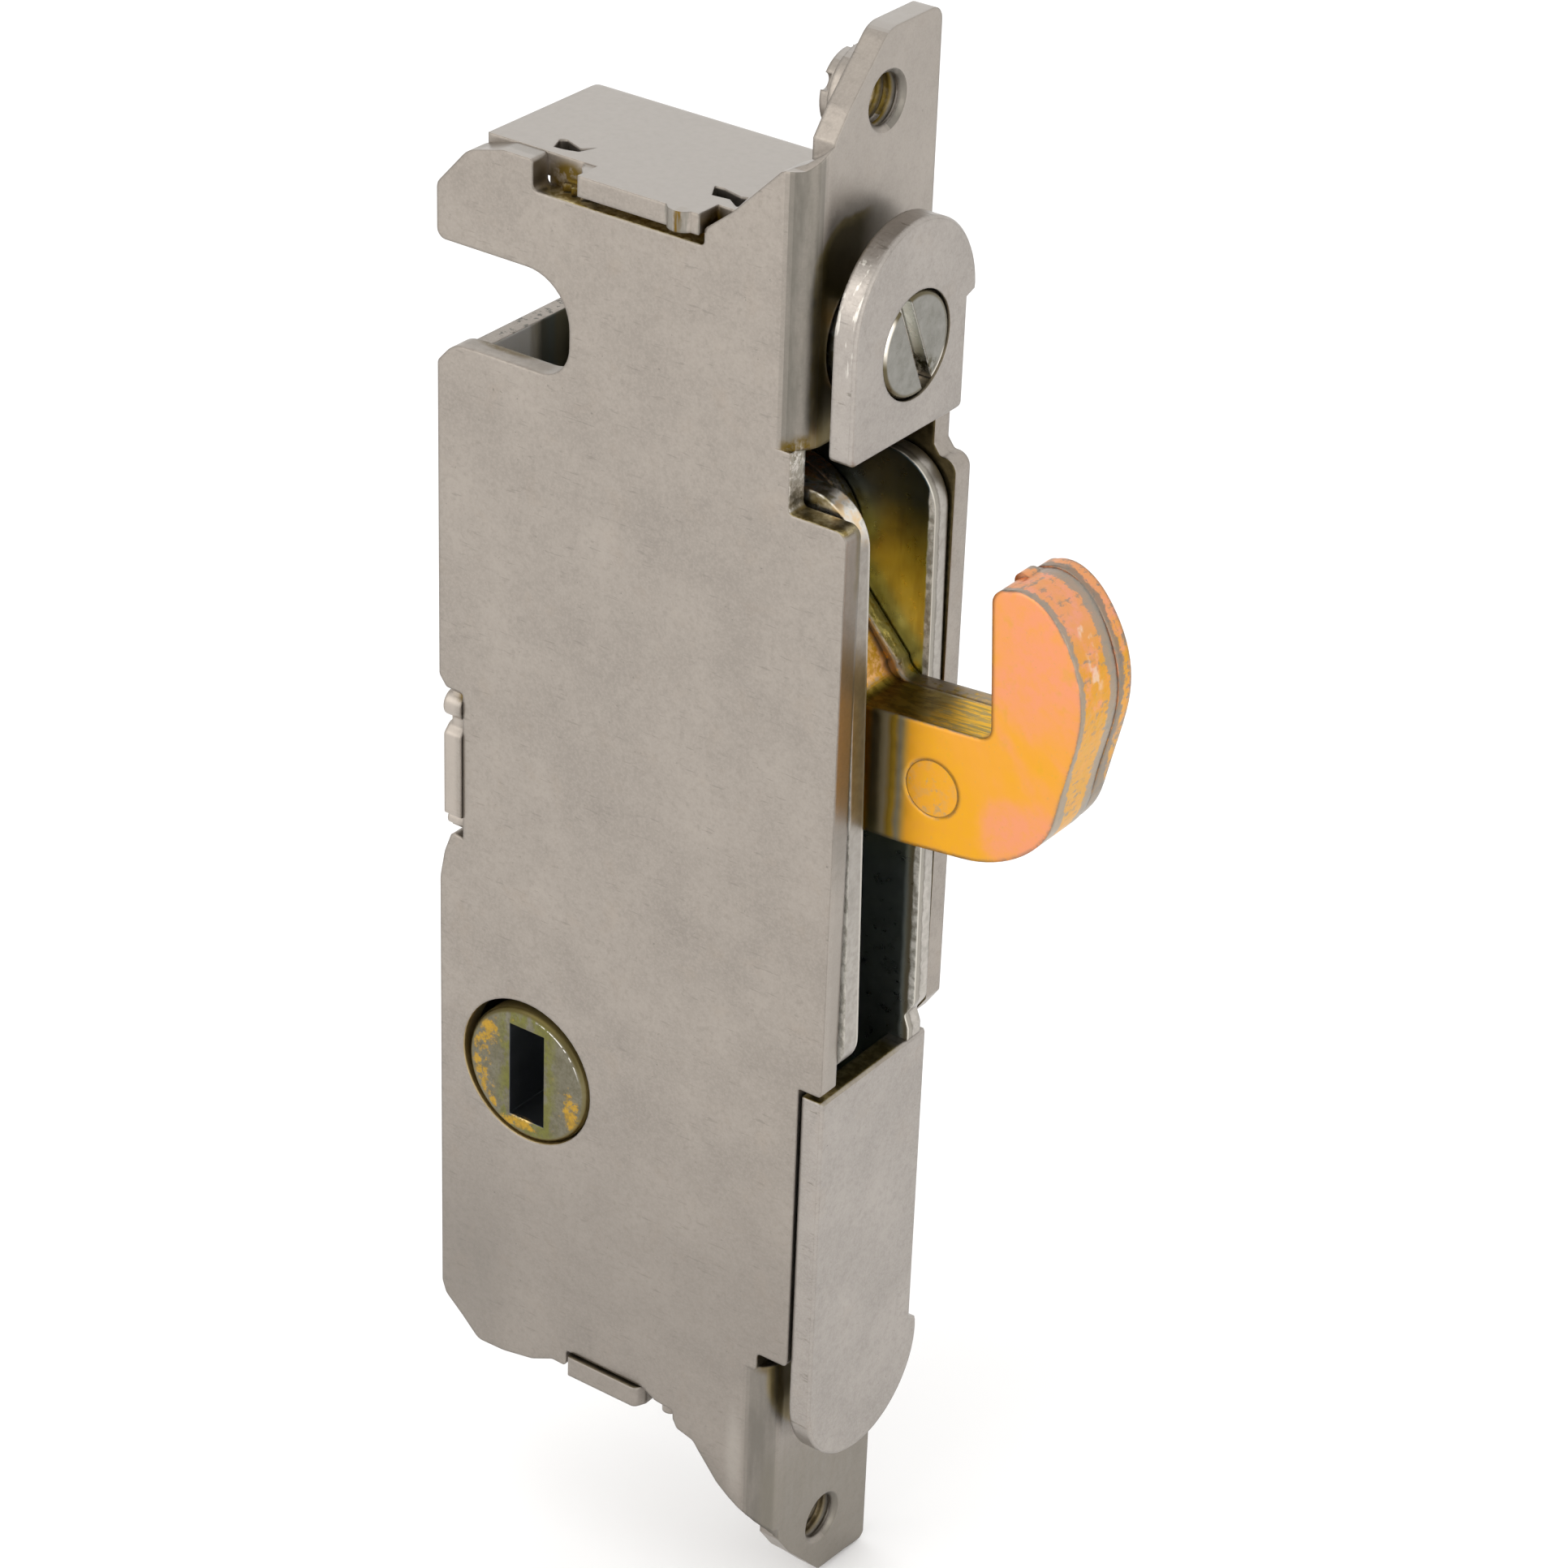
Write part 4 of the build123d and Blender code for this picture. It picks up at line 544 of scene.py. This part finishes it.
        # strip of bare metal along the far edge, against the thin plate
        base = t.mix(times(t, side, t.span(y, 0.25, 0.7), t.span(worn, 0.36, 0.56, 0.3, 0.9), t.math("SUBTRACT", 1.0, top)), base, (0.25, 0.225, 0.19))
    low = t.span(z, 14.0, 8.0)
    rag = t.noise(1.5, 5.0, 0.72, offset=(7, 3, 9))
    claw_side = times(t, side, t.math("SUBTRACT", 1.0, top))
    # painted glints, pink-white, on the claw's rim
    rim_glints = times(t, claw_side, t.span(y, -1.75, -1.35), t.span(y, -0.45, -0.85), t.span(z, 17.0, 18.6), t.span(z, 22.3, 21.3), t.span(t.noise(1.35, 2.0, 0.5, offset=(3, 5, 5)), 0.50, 0.66))
    base = t.mix(t.math("MULTIPLY", rim_glints, 0.62), base, (1.0, 0.78, 0.62))
    if thin:
        grey_line = t.span(t.math("MULTIPLY_ADD", rag, -1.5, t.math("MULTIPLY_ADD", low, -0.9, y)), 0.72, 0.52)
    else:
        grey_line = most(t, t.span(t.math("MULTIPLY_ADD", rag, -1.1, t.math("MULTIPLY_ADD", low, -0.75, y)), -2.86, -3.02),
                         t.span(t.math("MULTIPLY_ADD", rag, 1.5, y), 0.62, 0.82))
    base = t.mix(times(t, claw_side, grey_line, t.span(x, 4.6, 5.6), 0.85), base, (0.27, 0.235, 0.19) if thin else (0.37, 0.335, 0.28))
    # worn line along the outline, wider towards the toe
    wide = t.edge_mask(0.62, 0.035, 0.22)
    thin_line = t.edge_mask(0.26, 0.03, 0.20)
    mask = most(t, thin_line, t.math("MULTIPLY", wide, t.math("MULTIPLY_ADD", low, 0.55, 0.25)))
    ragged = t.span(t.noise(1.8, 5.0, 0.72, offset=(7, 3, 9)), 0.40, 0.56, 0.12, 1.0)
    near_side = t.math("SUBTRACT", 1.0, times(t, t.span(x, 10.6, 10.3), t.span(z, 14.2, 14.8)))
    outline_wear = times(t, mask, ragged, near_side, 0.95)
    base = t.mix(outline_wear, base, (0.27, 0.25, 0.215))
    t.base = base
    t.rough = t.span(mott, 0.3, 0.7, 0.30, 0.40, smooth=False)
    lumps = t.noise(1.5, 2.0, 0.5, offset=(5, 5, 5))
    rough_side = times(t, side, t.span(z, 13.0, 17.0))
    n1 = t.bump(t.noise(0.5, 3.0, 0.5), 0.2, 0.06, t.bevel(0.42))
    n2 = t.bump(t.math("MULTIPLY", lumps, rough_side), 0.6, 0.16, n1)
    t.normal = t.bump(t.math("ADD", t.math("MULTIPLY", mott, 0.5), times(t, top, lines)), 0.28, 0.03, n2)
    return done(t)


def rivet_material():
    t = Tree("hook_rivet_chromate")
    mott = t.noise(1.7, 4.0, 0.62, offset=(2, 8, 1))
    base = t.ramp(mott, [(0.34, (0.90, 0.43, 0.03)), (0.52, (0.93, 0.43, 0.045)), (0.66, (0.84, 0.43, 0.09))])
    worn = t.span(t.noise(1.6, 5.0, 0.7, offset=(7, 2, 9)), 0.56, 0.66, 0.0, 0.5)
    base = t.mix(worn, base, (0.42, 0.36, 0.22))
    t.base = t.mix(t.edge_mask(0.16, 0.02, 0.2), base, (0.16, 0.115, 0.05))
    t.rough = t.span(mott, 0.3, 0.7, 0.3, 0.42, smooth=False)
    t.normal = t.bump(mott, 0.3, 0.03, t.bevel(0.12))
    return done(t)


def hub_material():
    t = Tree("hub_chromate")
    x, y, z = t.xyz()
    nx, ny, nz = t.normal_xyz()
    drift = t.noise(0.7, 4.0, 0.6)
    base = t.ramp(drift, [(0.34, (0.185, 0.170, 0.120)), (0.66, (0.245, 0.228, 0.172))])
    # green tinge beside the slot
    off = t.math("ABSOLUTE", t.math("SUBTRACT", x, -18.40))
    green = times(t, t.span(off, 2.7, 1.5), t.span(t.noise(1.6, 4.0, 0.65, stretch=(0.8, 1, 0.45), offset=(1, 4, 4)), 0.38, 0.55))
    base = t.mix(t.math("MULTIPLY", green, 0.8), base, (0.20, 0.20, 0.035))
    patch = t.noise(1.7, 6.0, 0.74, offset=(5, 0, 2))
    ring = t.math("SUBTRACT", blob(t, -18.4, -6.6, -18.2, 4.35, 3.0, 4.35, soft=0.90), blob(t, -18.4, -6.6, -18.2, 3.7, 3.0, 3.7, soft=0.55))
    left = times(t, ring, t.span(x, -20.4, -21.0))
    right_low = blob(t, -15.0, -6.6, -19.7, 1.05, 3.0, 2.1, soft=0.3)
    under = blob(t, -19.0, -6.6, -21.9, 2.3, 3.0, 0.55, soft=0.3)
    upper = blob(t, -21.3, -6.6, -16.1, 1.3, 3.0, 1.3, soft=0.3)
    where = most(t, t.math("MULTIPLY", left, 0.8), right_low, under, upper)
    gold = t.span(t.math("MULTIPLY_ADD", where, 0.26, patch), 0.62, 0.76)
    base = t.mix(t.math("MULTIPLY", gold, 0.9), base, (0.60, 0.35, 0.035))
    grit = t.noise(4.0, 4.0, 0.65, offset=(3, 7, 7))
    base = t.mix(t.span(grit, 0.40, 0.66, 0.0, 0.42), base, (0.115, 0.100, 0.055))
    inner = times(t, t.span(t.math("ABSOLUTE", ny), 0.5, 0.3), t.span(off, 1.5, 1.36))
    base = t.mix(t.math("MULTIPLY", inner, 0.9), base, (0.20, 0.215, 0.24))
    outer_side = times(t, t.span(t.math("ABSOLUTE", ny), 0.6, 0.2), t.math("SUBTRACT", 1.0, blob(t, -18.4, -6.6, -18.2, 4.42, 90.0, 4.42, soft=0.98)))
    base = t.mix(t.math("MULTIPLY", outer_side, 0.9), base, (0.105, 0.075, 0.018))
    t.metal = t.math("MULTIPLY_ADD", outer_side, -0.75, 1.0)
    # olive skin round the turned edge, with a bright glint at the upper right
    turned = times(t, t.math("SUBTRACT", 1.0, blob(t, -18.4, -6.6, -18.2, 4.32, 90.0, 4.32, soft=0.955)))
    base = t.mix(t.math("MULTIPLY", turned, 0.75), base, (0.20, 0.165, 0.065))
    base = t.mix(times(t, turned, t.span(z, -17.5, -15.5), 0.75), base, (0.085, 0.066, 0.022))
    start = t.math("SUBTRACT", blob(t, -18.4, -6.6, -18.2, 4.17, 90.0, 4.17, soft=0.988), blob(t, -18.4, -6.6, -18.2, 4.09, 90.0, 4.09, soft=0.988))
    glint = times(t, start, blob(t, -15.9, -6.5, -15.2, 2.6, 2.0, 2.6, soft=0.4), t.span(t.noise(2.6, 3.0, 0.6), 0.44, 0.52))
    base = t.mix(glint, base, (1.0, 0.97, 0.90))
    # bright burr on the slot's lower lip, its bright spots a painted highlight
    burr = times(t, blob(t, -18.75, -6.6, -21.47, 0.95, 0.35, 0.16, soft=0.4), t.span(t.noise(3.0, 3.0), 0.38, 0.5))
    base = t.mix(burr, base, (0.95, 0.66, 0.25))
    t.base = base
    t.rough = t.span(drift, 0.3, 0.7, 0.32, 0.42, smooth=False)
    n1 = t.bump(t.noise(0.8, 3.0, 0.5), 0.25, 0.04, t.bevel(0.14))
    t.normal = t.bump(patch, 0.2, 0.015, n1)
    return done(t)


def small_metal(name, low, high, rough=(0.2, 0.32), warm=None):
    t = Tree(name)
    fleck = t.noise(1.8, 4.0, 0.6, offset=(3, 1, 8))
    t.base = t.ramp(fleck, [(0.32, low), (0.68, high)])
    if warm is not None:
        t.base = t.mix(t.span(t.noise(0.9, 3.0, 0.6, offset=(1, 6, 2)), 0.46, 0.62, 0.0, 0.7), t.base, warm)
    t.base = t.mix(t.math("MULTIPLY", t.edge_mask(0.1), 0.5), t.base, (0.12, 0.105, 0.08))
    t.rough = t.span(fleck, 0.3, 0.7, rough[0], rough[1], smooth=False)
    t.normal = t.bump(fleck, 0.3, 0.02, t.bevel(0.12))
    return done(t)


def screw_material():
    """Bright zinc screw head: satin, its slot painted light at the top as a painted sheen and darker at the lower end.
    """
    t = Tree("screw_bright_zinc")
    x, y, z = t.xyz()
    nx, ny, nz = t.normal_xyz()
    fleck = t.noise(1.4, 4.0, 0.6, offset=(3, 1, 8))
    base = t.ramp(fleck, [(0.34, (0.245, 0.238, 0.208)), (0.66, (0.33, 0.32, 0.29))])
    streak = t.noise(1.0, 3.0, 0.6, stretch=(1.0, 1.6, 0.35), offset=(2, 9, 4))
    base = t.mix(t.span(streak, 0.48, 0.68, 0.0, 0.35), base, (0.28, 0.272, 0.24))
    # painted sheen: the slot's floor is painted near white at its upper end, darker below
    sunk = times(t, t.span(nx, 0.7, 0.9), t.span(x, SCREW_TOP - 0.12, SCREW_TOP - 0.3))
    base = t.mix(sunk, base, t.mix(t.span(z, 35.0, 31.4), (1.0, 1.0, 0.93), (0.36, 0.33, 0.22)))
    # painted highlight on the slot's walls
    slot_side = times(t, t.span(t.math("ABSOLUTE", nx), 0.5, 0.2), t.span(x, SCREW_TOP - 0.9, SCREW_TOP - 0.7))
    base = t.mix(t.math("MULTIPLY", slot_side, 0.8), base, (1.0, 1.0, 0.95))
    # the slot's lower end is darker
    slot_low_dark = times(t, blob(t, SCREW_TOP - 0.4, 0.55, 32.4, 1.4, 1.1, 0.9, soft=0.3), t.span(t.noise(2.4, 4.0, 0.66, offset=(5, 3, 3)), 0.44, 0.56))
    base = t.mix(slot_low_dark, base, (0.10, 0.09, 0.05))
    base = t.mix(t.math("MULTIPLY", t.edge_mask(0.16, 0.02, 0.2), 0.45), base, (0.15, 0.12, 0.07))
    # dark rim of the head, with painted highlights at the lower right and the left
    rim = t.math("SUBTRACT", blob(t, 3.0, -0.71, 34.05, 6.0, 3.3, 3.3, soft=0.97), blob(t, 3.0, -0.71, 34.05, 6.0, 2.84, 2.84, soft=0.94))
    base = t.mix(t.math("MULTIPLY", rim, 0.85), base, (0.115, 0.090, 0.035))
    bright = times(t, rim, most(t, blob(t, 3.0, 1.5, 32.0, 6.0, 1.5, 1.5, soft=0.4), blob(t, 3.0, -3.3, 35.2, 6.0, 0.9, 1.7, soft=0.4)))
    t.base = t.mix(bright, base, (1.0, 0.93, 0.82))
    t.rough = t.span(fleck, 0.3, 0.7, 0.24, 0.34, smooth=False)
    t.normal = t.bump(fleck, 0.35, 0.03, t.bevel(0.2))
    return done(t)


near_mat = case_material("near_cover_zinc", False)
shell_mat = case_material("case_shell_zinc", True)
face_mat = plate_material()
wall_mat = wall_material()
hook_mat = hook_material("hook_chromate", False)
hook_thin_mat = hook_material("hook_thin_chromate", True)
rivet_mat = rivet_material()
hub_mat = hub_material()
screw_mat = screw_material()
pin_mat = small_metal("pin_steel", (0.33, 0.31, 0.27), (0.44, 0.42, 0.38), warm=(0.55, 0.36, 0.14))
spring_mat = small_metal("spring_steel", (0.24, 0.24, 0.24), (0.34, 0.34, 0.34), rough=(0.16, 0.26))

finish_of = {
    "near_cover": near_mat, "case_shell": shell_mat, "adjusting_nut": pin_mat,
    "top_face_plate": face_mat, "bottom_face_plate": face_mat,
    "carriage_near_wall": wall_mat, "carriage_far_wall": wall_mat, "carriage_bridge": wall_mat,
    "carriage_spacers": pin_mat, "screw_sleeve": wall_mat, "adjusting_screw": screw_mat,
    "screw_retaining_clip": spring_mat, "hook_thick_plate": hook_mat, "hook_thin_plate": hook_thin_mat,
    "hook_rivet": rivet_mat, "hook_tail_pin": pin_mat, "hook_pivot_pin": pin_mat, "lift_slide": wall_mat,
    "slide_guide_studs": pin_mat, "cam_hub": hub_mat, "hub_crank_arm": hub_mat, "crank_pin": pin_mat,
    "detent_spring": spring_mat, "spring_rivet": pin_mat,
}
for name, o in nodes.items():
    o.data.materials.clear()
    o.data.materials.append(finish_of[name])

# ---------------------------------------------------------------------------
# Floor, light
# ---------------------------------------------------------------------------
floor_z = cad_box[0].z - 0.0002
bm = bmesh.new()
bmesh.ops.create_grid(bm, x_segments=1, y_segments=1, size=1.2)
me = bpy.data.meshes.new("floor")
bm.to_mesh(me)
bm.free()
floor = bpy.data.objects.new("floor", me)
bpy.context.scene.collection.objects.link(floor)
floor.location = (0, 0, floor_z)
ft = Tree("floor_pale")
ft.finish(ft.ramp(ft.noise(0.01, 2.0), [(0.3, (0.95, 0.95, 0.955)), (0.7, (0.97, 0.97, 0.975))]), 0.9, None, metallic=0.0)
me.materials.append(ft.mat)

world = bpy.data.worlds.new("studio")
bpy.context.scene.world = world
world.use_nodes = True
wn = world.node_tree.nodes
wl = world.node_tree.links
wn.clear()
wo = wn.new("ShaderNodeOutputWorld")
bg = wn.new("ShaderNodeBackground")
bg.inputs["Color"].default_value = (1.0, 0.995, 0.985, 1)
bg.inputs["Strength"].default_value = 1.12
wl.new(bg.outputs[0], wo.inputs[0])


def area(name, loc_mm, target_mm, size, energy, color=(1, 1, 1)):
    d = bpy.data.lights.new(name, "AREA")
    d.shape = "RECTANGLE"
    d.size, d.size_y = size
    d.energy = energy
    d.color = color
    o = bpy.data.objects.new(name, d)
    bpy.context.scene.collection.objects.link(o)
    o.location = Vector(loc_mm) * MM
    direction = (Vector(target_mm) - Vector(loc_mm)).normalized()
    o.rotation_mode = "QUATERNION"
    o.rotation_quaternion = direction.to_track_quat("-Z", "Y")
    return o


area("key", (-160, -420, 260), (0, 0, 0), (0.40, 0.40), 0.8, (1.0, 0.97, 0.93))
area("front", (380, -120, 90), (0, 0, 0), (0.30, 0.35), 0.35, (1.0, 0.98, 0.95))
